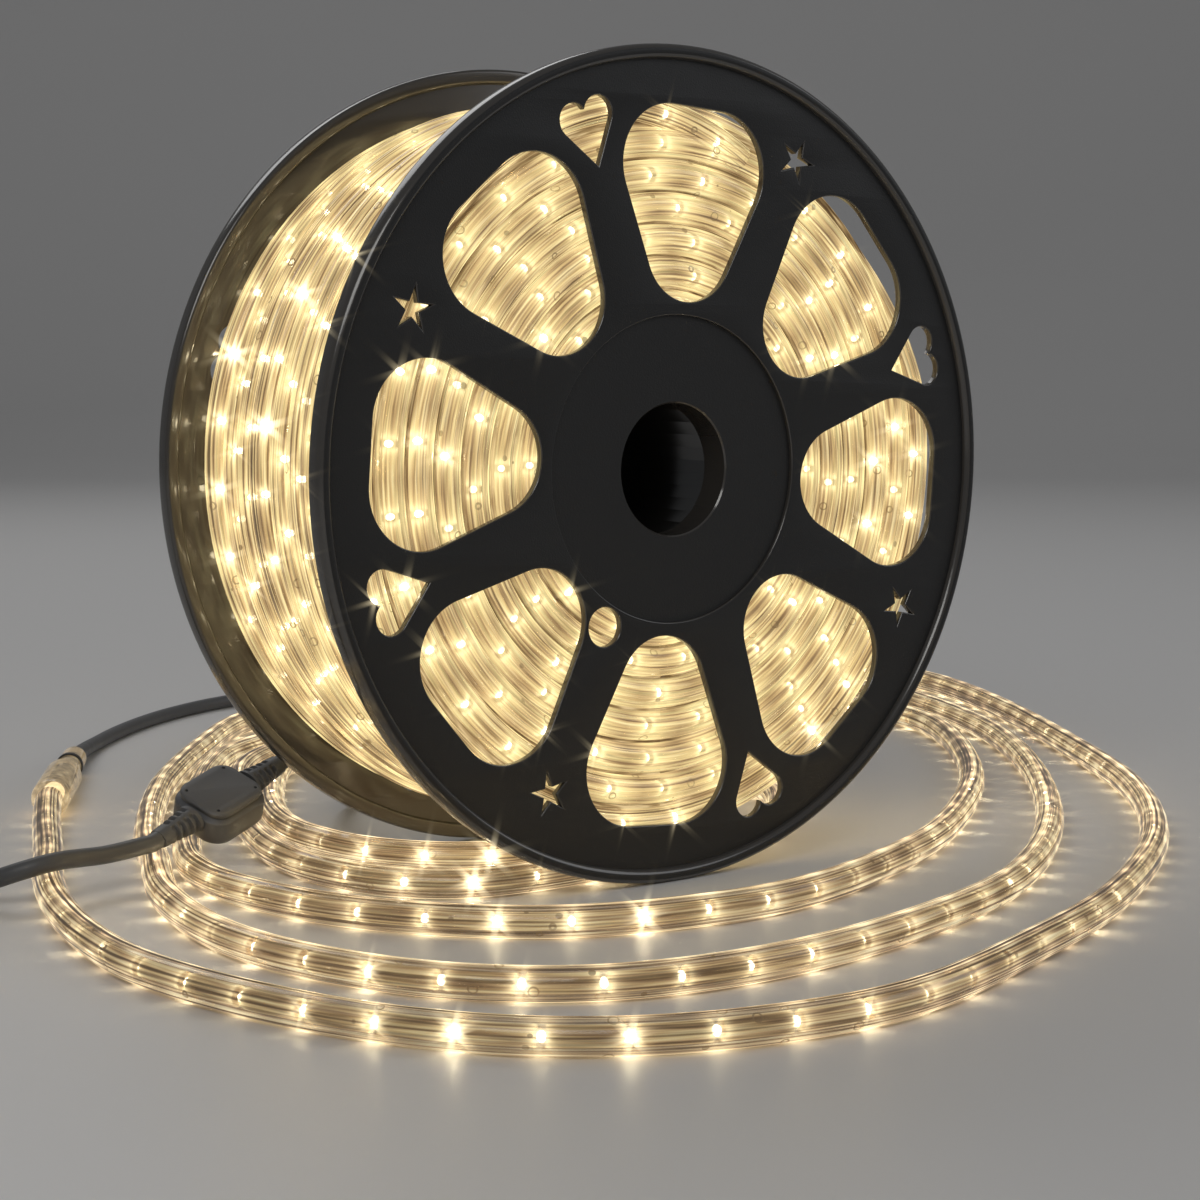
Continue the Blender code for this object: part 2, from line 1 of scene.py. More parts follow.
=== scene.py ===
"""LED rope light on its reel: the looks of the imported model.

Metres, +Z up. The origin is on the floor under the middle of the reel, whose axis lies along Y.
"""

import math

import bmesh
import bpy
from mathutils import Matrix, Vector


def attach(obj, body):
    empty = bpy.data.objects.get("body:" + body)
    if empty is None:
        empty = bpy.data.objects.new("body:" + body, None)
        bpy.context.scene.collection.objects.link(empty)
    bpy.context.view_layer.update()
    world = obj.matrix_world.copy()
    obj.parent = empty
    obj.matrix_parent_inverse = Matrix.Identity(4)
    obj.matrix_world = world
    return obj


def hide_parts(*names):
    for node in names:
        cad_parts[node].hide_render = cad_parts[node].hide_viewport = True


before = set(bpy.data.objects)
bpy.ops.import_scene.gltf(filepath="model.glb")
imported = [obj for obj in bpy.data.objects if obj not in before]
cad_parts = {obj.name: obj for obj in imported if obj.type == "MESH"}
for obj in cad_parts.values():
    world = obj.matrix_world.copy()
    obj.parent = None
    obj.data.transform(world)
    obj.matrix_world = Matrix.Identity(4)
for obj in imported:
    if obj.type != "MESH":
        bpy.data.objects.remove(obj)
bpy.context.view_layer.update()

# Camera
# A view from the front left, from a little above the reel's middle and tilted down a little,
# with a long lens.
camera_heading = math.radians(-37.183)
camera_tilt = math.radians(90 - 5.941)
camera_data = bpy.data.cameras.new("camera")
camera_data.sensor_width = 36.0
camera_data.lens = 74.07
camera = bpy.data.objects.new("camera", camera_data)
camera.location = (-0.6322, -0.8429, 0.2212)
camera.rotation_euler = (camera_tilt, 0.0, camera_heading)
bpy.context.collection.objects.link(camera)
bpy.context.scene.camera = camera

# Loose rope
# Half-inch rope light: a clear flexible vinyl rod with a row of diodes, 36 to the metre, and
# two wires cast into its core. Its loose end lies in loops round the reel.
rope_radius = 0.00635
rope_core_radius = 0.0037
diode_pitch = 0.0278
touch_gap = 0.0003
floor_gap = 0.0002
diode_width = 0.0040
steps_a_diode = 4
rope_floor_height = 0.0065
rope_on_floor = [
    (-0.177, 0.162), (-0.201, 0.108), (-0.219, 0.069), (-0.236, 0.023), (-0.249, -0.031),
    (-0.253, -0.083), (-0.243, -0.143), (-0.221, -0.198), (-0.186, -0.24), (-0.135, -0.265),
    (-0.07, -0.271), (0.012, -0.247), (0.099, -0.211), (0.199, -0.146), (0.285, -0.061),
    (0.359, 0.046), (0.431, 0.167), (0.476, 0.267), (0.48, 0.34), (0.452, 0.408), (0.395, 0.447),
    (0.32, 0.459), (0.24, 0.451), (0.165, 0.438), (0.095, 0.416), (0.037, 0.38), (-0.021, 0.314),
    (-0.057, 0.269), (-0.088, 0.226), (-0.117, 0.179), (-0.136, 0.145), (-0.158, 0.102),
    (-0.168, 0.076), (-0.195, 0.014), (-0.208, -0.05), (-0.203, -0.107), (-0.178, -0.161),
    (-0.134, -0.196), (-0.07, -0.207), (0.007, -0.196), (0.092, -0.165), (0.186, -0.097),
    (0.281, 0.0), (0.359, 0.105), (0.408, 0.213), (0.414, 0.275), (0.39, 0.33), (0.345, 0.366),
    (0.285, 0.382), (0.22, 0.38), (0.145, 0.366), (0.075, 0.345), (0.032, 0.322), (-0.016, 0.29),
    (-0.048, 0.252), (-0.075, 0.212), (-0.103, 0.167), (-0.122, 0.133), (-0.141, 0.099),
    (-0.153, 0.075), (-0.163, 0.048), (-0.167, 0.01), (-0.156, -0.042), (-0.131, -0.084),
    (-0.096, -0.115), (-0.05, -0.13), (0.003, -0.132), (0.069, -0.112), (0.141, -0.075),
    (0.233, -0.003), (0.305, 0.076), (0.353, 0.148), (0.366, 0.205), (0.354, 0.252),
    (0.318, 0.294), (0.262, 0.317), (0.2, 0.322), (0.13, 0.316), (0.07, 0.306), (0.025, 0.292),
    (-0.012, 0.268), (-0.04, 0.236), (-0.061, 0.199), (-0.085, 0.154), (-0.103, 0.11),
    (-0.118, 0.065), (-0.122, 0.025), (-0.113, -0.012), (-0.092, -0.036), (-0.062, -0.044),
    (-0.02, -0.044), (0.03, -0.04), (0.075, -0.025), (0.115, 0.005), (0.145, 0.05), (0.163, 0.105),
    (0.163, 0.165), (0.144, 0.225), (0.108, 0.264), (0.068, 0.278), (0.03, 0.274), (0.0, 0.256),
    (-0.022, 0.23), (-0.047, 0.191), (-0.072, 0.146), (-0.087, 0.108), (-0.092, 0.075),
    (-0.086, 0.038), (-0.067, 0.01),
]
rope_route = [(-0.166, 0.186, 0.0072)]
rope_route += [(x, y, rope_floor_height) for x, y in rope_on_floor]
rope_route += [(-0.04, -0.006, 0.007), (-0.015, -0.012, 0.0098)]


def smooth_path(points, pitch, split=1):
    """A smooth curve through the given points: a whole number of pitches, each in equal steps."""
    ends = [2 * points[0] - points[1]] + points + [2 * points[-1] - points[-2]]
    fine = []
    for before, start, finish, after in zip(ends, ends[1:], ends[2:], ends[3:]):
        for index in range(24):
            t = index / 24
            linear = (finish - before) * t
            square = (2 * before - 5 * start + 4 * finish - after) * t ** 2
            cube = (3 * start - before - 3 * finish + after) * t ** 3
            fine.append((2 * start + linear + square + cube) / 2)
    fine.append(points[-1].copy())
    reached = [0.0]
    for first, second in zip(fine, fine[1:]):
        reached.append(reached[-1] + (second - first).length)
    count = split * round(reached[-1] / pitch)
    path = []
    place = 0
    for index in range(count + 1):
        wanted = reached[-1] * index / count
        while place < len(fine) - 2 and reached[place + 1] < wanted:
            place += 1
        share = (wanted - reached[place]) / (reached[place + 1] - reached[place])
        path.append(fine[place].lerp(fine[place + 1], share))
    return path


def add_node(tree, kind, inputs=None, **settings):
    """A node of a tree, with its settings, and its inputs as values or as other nodes' sockets."""
    made = tree.nodes.new(kind)
    for name, value in settings.items():
        setattr(made, name, value)
    for key, value in (inputs or {}).items():
        if isinstance(value, bpy.types.NodeSocket):
            tree.links.new(value, made.inputs[key])
        else:
            made.inputs[key].default_value = value
    return made


def new_material(name, colour, roughness, **finish):
    """A Principled material, with its tree and its shader."""
    material = bpy.data.materials.new(name)
    material.use_nodes = True
    shader = material.node_tree.nodes["Principled BSDF"]
    shader.inputs["Base Color"].default_value = (*colour, 1.0)
    shader.inputs["Roughness"].default_value = roughness
    for key, value in finish.items():
        shader.inputs[key.replace("_", " ")].default_value = value
    return material, material.node_tree, shader


def colour_ramp(tree, factor, stops):
    ramp = add_node(tree, "ShaderNodeValToRGB", {"Fac": factor})
    elements = ramp.color_ramp.elements
    while len(elements) < len(stops):
        elements.new(0.5)
    for element, (place, colour) in zip(elements, stops):
        element.position = place
        element.color = (*colour, 1.0)
    return ramp.outputs["Color"]


def number(tree, operation, first, second=0.0, third=0.0, clamp=False):
    """What a Math node makes of one, two or three numbers or sockets."""
    made = add_node(tree, "ShaderNodeMath", {0: first, 1: second, 2: third}, operation=operation)
    made.use_clamp = clamp
    return made.outputs[0]


def ranged(tree, value, least, most):
    """A number that goes from least to most as a value goes from zero to one."""
    inputs = {"Value": value, "To Min": least, "To Max": most}
    return add_node(tree, "ShaderNodeMapRange", inputs).outputs[0]


def object_noise(tree, scale, detail, **more):
    """Noise on the piece's own coordinates."""
    place = add_node(tree, "ShaderNodeTexCoord").outputs["Object"]
    inputs = {"Vector": place, "Scale": scale, "Detail": detail, **more}
    return add_node(tree, "ShaderNodeTexNoise", inputs).outputs["Fac"]


def rope_place(tree, around_scale, along_scale):
    """A point of the rope's own space: its place on a unit circle, and metres along the rope."""
    place = add_node(tree, "ShaderNodeAttribute", attribute_name="rope_place").outputs["Vector"]
    scale = (around_scale, around_scale, along_scale)
    return add_node(
        tree, "ShaderNodeVectorMath", {0: place, 1: scale}, operation="MULTIPLY"
    ).outputs["Vector"]


def rope_noise(tree, around_scale, along_scale, detail):
    """Noise in the rope's own space, stretched along the rope where along_scale is small."""
    place = rope_place(tree, around_scale, along_scale)
    noise = add_node(
        tree, "ShaderNodeTexNoise", {"Vector": place, "Scale": 1.0, "Detail": detail, "Roughness": 0.6}
    )
    return noise.outputs["Fac"]


def near_diode(tree, reach):
    """One at each diode, falling to nothing about two reaches along the rope from it."""
    split = add_node(tree, "ShaderNodeSeparateXYZ", {0: rope_place(tree, 1.0, 1 / diode_pitch)})
    phase = number(tree, "FRACT", split.outputs["Z"])
    away = number(tree, "ABSOLUTE", number(tree, "SUBTRACT", phase, 0.5))
    share = number(tree, "POWER", number(tree, "MULTIPLY", away, diode_pitch / reach), 2.0)
    return number(tree, "EXPONENT", number(tree, "MULTIPLY", share, -1.0))


def mix_colour(tree, share, first, second):
    """Two colours mixed. Each is a socket, or red, green, blue and one."""
    return add_node(tree, "ShaderNodeMix", {0: share, 6: first, 7: second}, data_type="RGBA").outputs[2]


def light(tree, shader, colour, power):
    """Makes a shader give light, in a colour and with a power that are both sockets."""
    tree.links.new(colour, shader.inputs["Emission Color"])
    tree.links.new(power, shader.inputs["Emission Strength"])


def let_shine(material, opacity):
    """Gives clear rope its opacity. Its faces are too many to be lamps, so its light only bounces."""
    shader = material.node_tree.nodes["Principled BSDF"]
    material.node_tree.links.new(opacity, shader.inputs["Alpha"])
    material.cycles.emission_sampling = "NONE"
    material.use_transparent_shadow = False


def make_rope_core(name, strength):
    """The rope's inner channel, lit by its own diodes, and open where each of them sits."""
    halo_reach = 0.0034
    seat_reach = 0.0024
    material, tree, shader = new_material(name, (0.30, 0.20, 0.10), 0.4)
    stops = [
        (0.36, (0.10, 0.06, 0.025)),
        (0.46, (0.44, 0.29, 0.125)),
        (0.56, (0.76, 0.56, 0.25)),
        (0.68, (1.0, 0.86, 0.46)),
    ]
    streaks = colour_ramp(tree, rope_noise(tree, 2.6, 34.0, 1.0), stops)
    halo = near_diode(tree, halo_reach)
    colour = mix_colour(tree, halo, streaks, (1.0, 0.86, 0.47, 1.0))
    light(tree, shader, colour, ranged(tree, halo, strength, 2.2))
    seat = near_diode(tree, seat_reach)
    let_shine(material, number(tree, "MULTIPLY_ADD", seat, -1.6, 1.35, clamp=True))
    return material


def make_rope_sleeve(name, stops, dimmest, brightest, contrast, spread, lift):
    """The clear vinyl round the core: streaks and fine lines along it, and a few small bubbles.

    Its light goes from dimmest to brightest along the rope, and near a diode, within spread, its
    colour is moved up the stops by lift.
    """
    bubbles_a_metre = 75.0
    bubble_radius = 0.13
    bubble_edge = 0.020
    diode_power = 1.35
    material, tree, shader = new_material(name, (0.20, 0.14, 0.08), 0.11, IOR=1.52)
    streaks = rope_noise(tree, 4.6, 26.0, 1.0)
    lines = rope_noise(tree, 8.5, 4.0, 0.0)
    both = number(tree, "ADD", streaks, lines)
    mixed = number(tree, "MULTIPLY_ADD", both, contrast / 2, (1 - contrast) / 2)
    glow = near_diode(tree, spread)
    lifted = number(tree, "MULTIPLY_ADD", glow, lift, mixed)
    streaked = colour_ramp(tree, lifted, stops)
    cells = {"Vector": rope_place(tree, rope_radius, 1.0), "Scale": bubbles_a_metre}
    bubbles = add_node(tree, "ShaderNodeTexVoronoi", cells).outputs["Distance"]
    away = number(tree, "ABSOLUTE", number(tree, "SUBTRACT", bubbles, bubble_radius))
    edge = number(tree, "LESS_THAN", away, bubble_edge)
    shade = number(tree, "MULTIPLY", edge, 0.7)
    colour = mix_colour(tree, shade, streaked, (0.13, 0.08, 0.03, 1.0))
    stretches = add_node(
        tree,
        "ShaderNodeMapRange",
        {
            "Value": rope_noise(tree, 0.0, 3.5, 0.0),
            "From Min": 0.35,
            "From Max": 0.65,
            "To Min": dimmest,
            "To Max": brightest,
        },
    )
    more = diode_power - brightest
    light(tree, shader, colour, number(tree, "MULTIPLY_ADD", glow, more, stretches.outputs[0]))
    rim = add_node(tree, "ShaderNodeLayerWeight", {"Blend": 0.28}).outputs["Facing"]
    body = number(tree, "MULTIPLY_ADD", lines, -1.1, 1.05)
    opacity = number(tree, "MULTIPLY_ADD", rim, 0.6, body)
    let_shine(material, number(tree, "MULTIPLY_ADD", edge, 0.5, opacity, clamp=True))
    return material


def scale_emission(material, share):
    """Multiplies a material's light by a socket."""
    tree = material.node_tree
    shader = tree.nodes["Principled BSDF"]
    power = shader.inputs["Emission Strength"].links[0].from_socket
    tree.links.new(number(tree, "MULTIPLY", power, share), shader.inputs["Emission Strength"])


def paint_edge_highlights(sleeve):
    """Painted highlight: the clear rope's light is raised by which way its surface faces, in a bright
    line along its underside and a fainter one on top.
    """
    tree = sleeve.node_tree
    normal = add_node(tree, "ShaderNodeNewGeometry").outputs["Normal"]
    facing_up = add_node(tree, "ShaderNodeSeparateXYZ", {0: normal}).outputs["Z"]
    height = number(tree, "MULTIPLY_ADD", facing_up, 0.5, 0.5)
    shares = [
        (0.06, 1.0), (0.13, 0.46), (0.40, 0.54), (0.60, 0.40),
        (0.80, 0.46), (0.90, 0.30), (0.965, 0.34), (0.99, 0.75),
    ]
    # Painted highlight lines: the light's share by how far the surface faces up, highest facing down and
    # near the very top
    share = colour_ramp(tree, height, [(place, (grey, grey, grey)) for place, grey in shares])
    scale_emission(sleeve, number(tree, "MULTIPLY", share, 2.0))


def make_rope_diode(name, weakest, strongest):
    """A diode's hot middle. They don't all burn alike: each has its own share, called spark."""
    material, tree, shader = new_material(name, (1.0, 0.9, 0.7), 0.4)
    spark = add_node(tree, "ShaderNodeAttribute", attribute_name="spark").outputs["Fac"]
    shader.inputs["Emission Color"].default_value = (1.0, 0.86, 0.56, 1.0)
    power = ranged(tree, number(tree, "POWER", spark, 3.0), weakest, strongest)
    tree.links.new(power, shader.inputs["Emission Strength"])
    material.cycles.emission_sampling = "NONE"
    return material


def make_rope_tube(tree, lines, size, sides, material):
    """Nodes that put a tube round lines, and store each point's place in the rope's own space."""
    round_line = add_node(
        tree, "GeometryNodeCurvePrimitiveCircle", {"Resolution": sides, "Radius": size}
    )
    position = add_node(tree, "GeometryNodeInputPosition").outputs[0]
    outward = add_node(tree, "ShaderNodeVectorMath", {0: position}, operation="NORMALIZE")
    marked = add_node(
        tree,
        "GeometryNodeStoreNamedAttribute",
        {"Geometry": round_line.outputs[0], "Name": "outward", "Value": outward.outputs[0]},
        data_type="FLOAT_VECTOR",
    )
    tube = add_node(
        tree,
        "GeometryNodeCurveToMesh",
        {"Curve": lines, "Profile Curve": marked.outputs[0], "Fill Caps": True},
    )
    around = add_node(
        tree, "GeometryNodeInputNamedAttribute", {"Name": "outward"}, data_type="FLOAT_VECTOR"
    )
    along = add_node(tree, "GeometryNodeInputNamedAttribute", {"Name": "along"}, data_type="FLOAT")
    split = add_node(tree, "ShaderNodeSeparateXYZ", {0: around.outputs[0]})
    place = add_node(
        tree, "ShaderNodeCombineXYZ", {0: split.outputs[0], 1: split.outputs[1], 2: along.outputs[0]}
    )
    placed = add_node(
        tree,
        "GeometryNodeStoreNamedAttribute",
        {"Geometry": tube.outputs[0], "Name": "rope_place", "Value": place.outputs[0]},
        data_type="FLOAT_VECTOR",
    )
    smooth = add_node(tree, "GeometryNodeSetShadeSmooth", {0: placed.outputs[0]})
    whole = add_node(tree, "GeometryNodeRealizeInstances", {0: smooth.outputs[0]})
    return add_node(tree, "GeometryNodeSetMaterial", {0: whole.outputs[0], "Material": material})


def make_rope_diodes(tree, lines, width, material):
    """Nodes that put a diode on each marked point of the lines."""
    bead = add_node(tree, "GeometryNodeMeshUVSphere", {"Segments": 8, "Rings": 5, "Radius": 0.5})
    marks = add_node(tree, "GeometryNodeInputNamedAttribute", {"Name": "diode"}, data_type="BOOLEAN")
    tangent = add_node(tree, "GeometryNodeInputTangent")
    turn = add_node(
        tree, "FunctionNodeAlignRotationToVector", {"Vector": tangent.outputs[0]}, axis="Z"
    )
    size = add_node(
        tree, "ShaderNodeVectorMath", {0: (1.0, 1.0, 0.75), "Scale": width}, operation="SCALE"
    )
    placed = add_node(
        tree,
        "GeometryNodeInstanceOnPoints",
        {
            "Points": lines,
            "Selection": marks.outputs[0],
            "Instance": bead.outputs["Mesh"],
            "Rotation": turn.outputs[0],
            "Scale": size.outputs[0],
        },
    )
    spark = add_node(tree, "FunctionNodeRandomValue", {"Seed": 7}, data_type="FLOAT")
    marked = add_node(
        tree,
        "GeometryNodeStoreNamedAttribute",
        {"Geometry": placed.outputs[0], "Name": "spark", "Value": spark.outputs[1]},
        data_type="FLOAT",
        domain="INSTANCE",
    )
    smooth = add_node(tree, "GeometryNodeSetShadeSmooth", {0: marked.outputs[0]})
    whole = add_node(tree, "GeometryNodeRealizeInstances", {0: smooth.outputs[0]})
    return add_node(tree, "GeometryNodeSetMaterial", {0: whole.outputs[0], "Material": material})


def make_rope_tree():
    """Geometry nodes that turn a mesh's lines into rope: a sleeve, a core and diodes."""
    tree = bpy.data.node_groups.new("rope_round_lines", "GeometryNodeTree")
    sockets = tree.interface
    sockets.new_socket("Lines", in_out="INPUT", socket_type="NodeSocketGeometry")
    for name in ("Sleeve radius", "Core radius", "Diode width"):
        sockets.new_socket(name, in_out="INPUT", socket_type="NodeSocketFloat")
    for name in ("Sleeve sides", "Core sides"):
        sockets.new_socket(name, in_out="INPUT", socket_type="NodeSocketInt")
    for name in ("Sleeve material", "Core material", "Diode material"):
        sockets.new_socket(name, in_out="INPUT", socket_type="NodeSocketMaterial")
    sockets.new_socket("Rope", in_out="OUTPUT", socket_type="NodeSocketGeometry")
    given = add_node(tree, "NodeGroupInput").outputs
    lines = add_node(tree, "GeometryNodeMeshToCurve", {0: given["Lines"]}).outputs[0]
    sleeve = make_rope_tube(
        tree, lines, given["Sleeve radius"], given["Sleeve sides"], given["Sleeve material"]
    )
    core = make_rope_tube(
        tree, lines, given["Core radius"], given["Core sides"], given["Core material"]
    )
    diodes = make_rope_diodes(tree, lines, given["Diode width"], given["Diode material"])
    joined = add_node(tree, "GeometryNodeJoinGeometry")
    for piece in (sleeve, core, diodes):
        tree.links.new(piece.outputs[0], joined.inputs[0])
    result = add_node(tree, "NodeGroupOutput")
    tree.links.new(joined.outputs[0], result.inputs[0])
    return tree


def rope_from_lines(name, lines, sleeve_sides, core_sides, sleeve, core, diode):
    """A rope piece round each line, given as its points and by how many steps it is shifted."""
    shape = bmesh.new()
    along = shape.verts.layers.float.new("along")
    lit = shape.verts.layers.bool.new("diode")
    for path, shift in lines:
        last = None
        for index, point in enumerate(path):
            vertex = shape.verts.new(point)
            vertex[along] = (index + shift) * diode_pitch / steps_a_diode
            vertex[lit] = (index + shift) % steps_a_diode == steps_a_diode // 2
            if last:
                shape.edges.new((last, vertex))
            last = vertex
    piece = add_object(name, mesh_from(name, shape))
    modifier = piece.modifiers.new("rope", "NODES")
    modifier.node_group = rope_tree
    values = {
        "Sleeve radius": rope_radius,
        "Core radius": rope_core_radius,
        "Diode width": diode_width,
        "Sleeve sides": sleeve_sides,
        "Core sides": core_sides,
        "Sleeve material": sleeve,
        "Core material": core,
        "Diode material": diode,
    }
    for socket in rope_tree.interface.items_tree:
        if socket.name in values:
            modifier[socket.identifier] = values[socket.name]
    return as_plain_mesh(piece)


def mesh_from(name, shape):
    """A mesh from a shape, which is freed."""
    mesh = bpy.data.meshes.new(name)
    shape.to_mesh(mesh)
    shape.free()
    return mesh


def add_object(name, data):
    made = bpy.data.objects.new(name, data)
    bpy.context.collection.objects.link(made)
    return made


def seen_mesh(piece):
    """The mesh that a piece's curve or modifiers make."""
    bpy.context.view_layer.update()
    seen = piece.evaluated_get(bpy.context.evaluated_depsgraph_get())
    return bpy.data.meshes.new_from_object(seen)


def as_plain_mesh(piece):
    """Swaps a piece's modifiers for the mesh that they make."""
    mesh = seen_mesh(piece)
    piece.modifiers.clear()
    piece.data = mesh
    return piece


reel_middle = Vector((0.0, 0.0, 0.17))
coil_radius = 0.152
wrap_radius = coil_radius + touch_gap + rope_radius
wrap_place = -2 * rope_radius
wrap_end = 36
connector_end = Vector((-0.15, 0.218, 0.0092))
connector_heading = Vector((0.512, 0.859, 0.0)).normalized()


def coil_point(degrees, radius, place):
    """A point round the reel's axis, in degrees from the bottom towards +X."""
    turn = math.radians(degrees)
    return reel_middle + Vector((radius * math.sin(turn), place, -radius * math.cos(turn)))


rope_points = [connector_end - connector_heading * reach for reach in (touch_gap, rope_radius)]
rope_points += [Vector(point) for point in rope_route]
rope_points += [coil_point(degrees, wrap_radius, wrap_place) for degrees in range(0, wrap_end + 1, 6)]
rope_path = smooth_path(rope_points, diode_pitch, steps_a_diode)
for point in rope_path:
    point.z = max(point.z, rope_radius + floor_gap)
rope_tree = make_rope_tree()
clear_stops = [
    (0.37, (0.030, 0.020, 0.015)),
    (0.45, (0.155, 0.105, 0.065)),
    (0.52, (0.38, 0.255, 0.148)),
    (0.60, (0.74, 0.56, 0.31)),
    (0.69, (1.0, 0.88, 0.55)),
]
loose_sleeve = make_rope_sleeve(
    "loose_sleeve", clear_stops, dimmest=0.42, brightest=0.84, contrast=1.2, spread=0.0060, lift=0.07
)
paint_edge_highlights(loose_sleeve)
loose_core = make_rope_core("loose_core", 0.44)
rope_diode = make_rope_diode("rope_diode", weakest=9.0, strongest=60.0)
loose_rope = rope_from_lines(
    "loose_rope",
    [(rope_path, 0)],
    sleeve_sides=20,
    core_sides=10,
    sleeve=loose_sleeve,
    core=loose_core,
    diode=rope_diode,
)
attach(loose_rope, "root")
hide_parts("rope_tail")

# Power connector
# A fat clear sleeve moulded over the rope's end, with a narrower clear neck that the lead goes
# into, and a dark sealing ring on the neck. The rope's light shines into it.
sleeve_radius = 0.0090
sleeve_length = 0.066
neck_radius = 0.0062
neck_length = 0.052
ring_radius = 0.0068
ring_length = 0.005
ring_place = sleeve_length + neck_length * 0.45


def turned(profile, steps):
    """A closed mesh: a profile of (radius, height) points, run from axis to axis, turned about Z."""
    shape = bmesh.new()
    corners = [shape.verts.new((radius, 0.0, height)) for radius, height in profile]
    edges = [shape.edges.new(pair) for pair in zip(corners, corners[1:])]
    bmesh.ops.spin(
        shape,
        geom=corners + edges,
        cent=(0.0, 0.0, 0.0),
        axis=(0.0, 0.0, 1.0),
        angle=math.tau,
        steps=steps,
        use_duplicate=False,
    )
    bmesh.ops.remove_doubles(shape, verts=shape.verts, dist=0.00001)
    bmesh.ops.recalc_face_normals(shape, faces=shape.faces)
    return shape


def add_shape(target, shape, place=Matrix.Identity(4), material=0):
    """Moves a shape's faces into a larger one, at a place and with a material's number."""
    for face in shape.faces:
        face.material_index = material
    shape.transform(place)
    mesh = mesh_from("part", shape)
    target.from_mesh(mesh)
    bpy.data.meshes.remove(mesh)


def finish_piece(name, shape, materials, crease=35):
    """A piece from a shape that is in its place already, smooth up to a crease in degrees."""
    for face in shape.faces:
        face.smooth = True
    mesh = mesh_from(name, shape)
    for material in materials:
        mesh.materials.append(material)
    mesh.set_sharp_from_angle(angle=math.radians(crease))
    piece = add_object(name, mesh)
    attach(piece, "root")
    return piece


def arc(x, y, radius, start, finish, steps):
    """Points along an arc about (x, y), in equal steps from one angle in degrees to another."""
    turns = [math.radians(start + (finish - start) * step / steps) for step in range(steps + 1)]
    return [(x + radius * math.cos(turn), y + radius * math.sin(turn)) for turn in turns]


def dome(radius, height, side, corner):
    """Points of a rounded end from its rim inwards, where side is 1 upwards and -1 downwards."""
    return arc(radius - corner, height, corner, 0, side * 90, 5)


def make_connector_materials():
    """The clear vinyl with the rope's light painted into it as a glow, its brass pins, its dark ring, and
    the lit end of the rope inside.
    """
    clear, tree, shader = new_material(
        "connector_clear", (0.55, 0.43, 0.28), 0.12, IOR=1.5, Coat_Weight=0.8, Coat_Roughness=0.04
    )
    painted_glow_clouds = object_noise(tree, 230.0, 4.0, Roughness=0.6)
    stops = [
        (0.34, (0.10, 0.065, 0.030)),
        (0.50, (0.44, 0.32, 0.16)),
        (0.62, (0.76, 0.59, 0.33)),
        (0.74, (1.0, 0.86, 0.56)),
    ]
    # Painted glow: the rope's light in the clear vinyl, given as the vinyl's own light in cloudy streaks
    tree.links.new(colour_ramp(tree, painted_glow_clouds, stops), shader.inputs["Emission Color"])
    shader.inputs["Emission Strength"].default_value = 0.72
    shader.inputs["Alpha"].default_value = 0.62
    metal, _, _ = new_material("connector_pins", (0.62, 0.50, 0.30), 0.3, Metallic=1.0)
    dark, _, _ = new_material("connector_ring", (0.02, 0.018, 0.016), 0.4)
    hot, _, hot_shader = new_material("connector_glow", (0.8, 0.6, 0.3), 0.5)
    hot_shader.inputs["Emission Color"].default_value = (1.0, 0.78, 0.44, 1.0)
    hot_shader.inputs["Emission Strength"].default_value = 1.6
    return [clear, metal, dark, hot]


def rod(*sections):
    """Profile of a solid rod along the axis, through sections given as (radius, height)."""
    return [(0.0, sections[0][1]), *sections, (0.0, sections[-1][1])]


def make_connector():
    """The connector along +Z from the rope's end, then turned into its place."""
    clear, metal, dark, hot = range(4)
    top = sleeve_length + neck_length
    base_round = 0.0045
    sleeve_round = 0.0040
    neck_round = 0.0016
    fillet = 0.0006
    outline = [(0.0, 0.0)] + list(reversed(dome(sleeve_radius, base_round, -1, base_round)))
    outline += dome(sleeve_radius, sleeve_length - sleeve_round, 1, sleeve_round)[:-1]
    outline += [(neck_radius + fillet, sleeve_length), (neck_radius, sleeve_length + 0.0008)]
    outline += dome(neck_radius, top - neck_round, 1, neck_round)
    outline += [(0.0, top)]
    ring_seat = neck_radius - 0.001
    ring_top = ring_place + ring_length
    band = [
        (ring_seat, ring_place),
        (ring_radius - fillet, ring_place),
        (ring_radius, ring_place + fillet),
        (ring_radius, ring_top - fillet),
        (ring_radius - fillet, ring_top),
        (ring_seat, ring_top),
        (ring_seat, ring_place),
    ]
    rope_stub = rod((0.0050, 0.002), (0.0050, 0.020), (0.0042, 0.022))
    holder = rod((0.0058, 0.036), (0.0058, 0.058), (0.0034, 0.062))
    pin = rod((0.0007, 0.021), (0.0007, 0.037))
    pin_offset = 0.0022
    wire = rod((0.0034, 0.061), (0.0036, top - 0.003))
    shape = bmesh.new()
    add_shape(shape, turned(outline, 40), material=clear)
    add_shape(shape, turned(band, 40), material=dark)
    add_shape(shape, turned(rope_stub, 24), material=hot)
    add_shape(shape, turned(holder, 24), material=dark)
    for side in (pin_offset, -pin_offset):
        add_shape(shape, turned(pin, 10), Matrix.Translation((side, 0.0, 0.0)), metal)
    add_shape(shape, turned(wire, 20), material=dark)
    turn = connector_heading.to_track_quat("Z", "Y").to_matrix().to_4x4()
    shape.transform(Matrix.Translation(connector_end) @ turn)
    connector = finish_piece("rope_connector", shape, make_connector_materials())
    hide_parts("power_connector")
    return connector


rope_connector = make_connector()

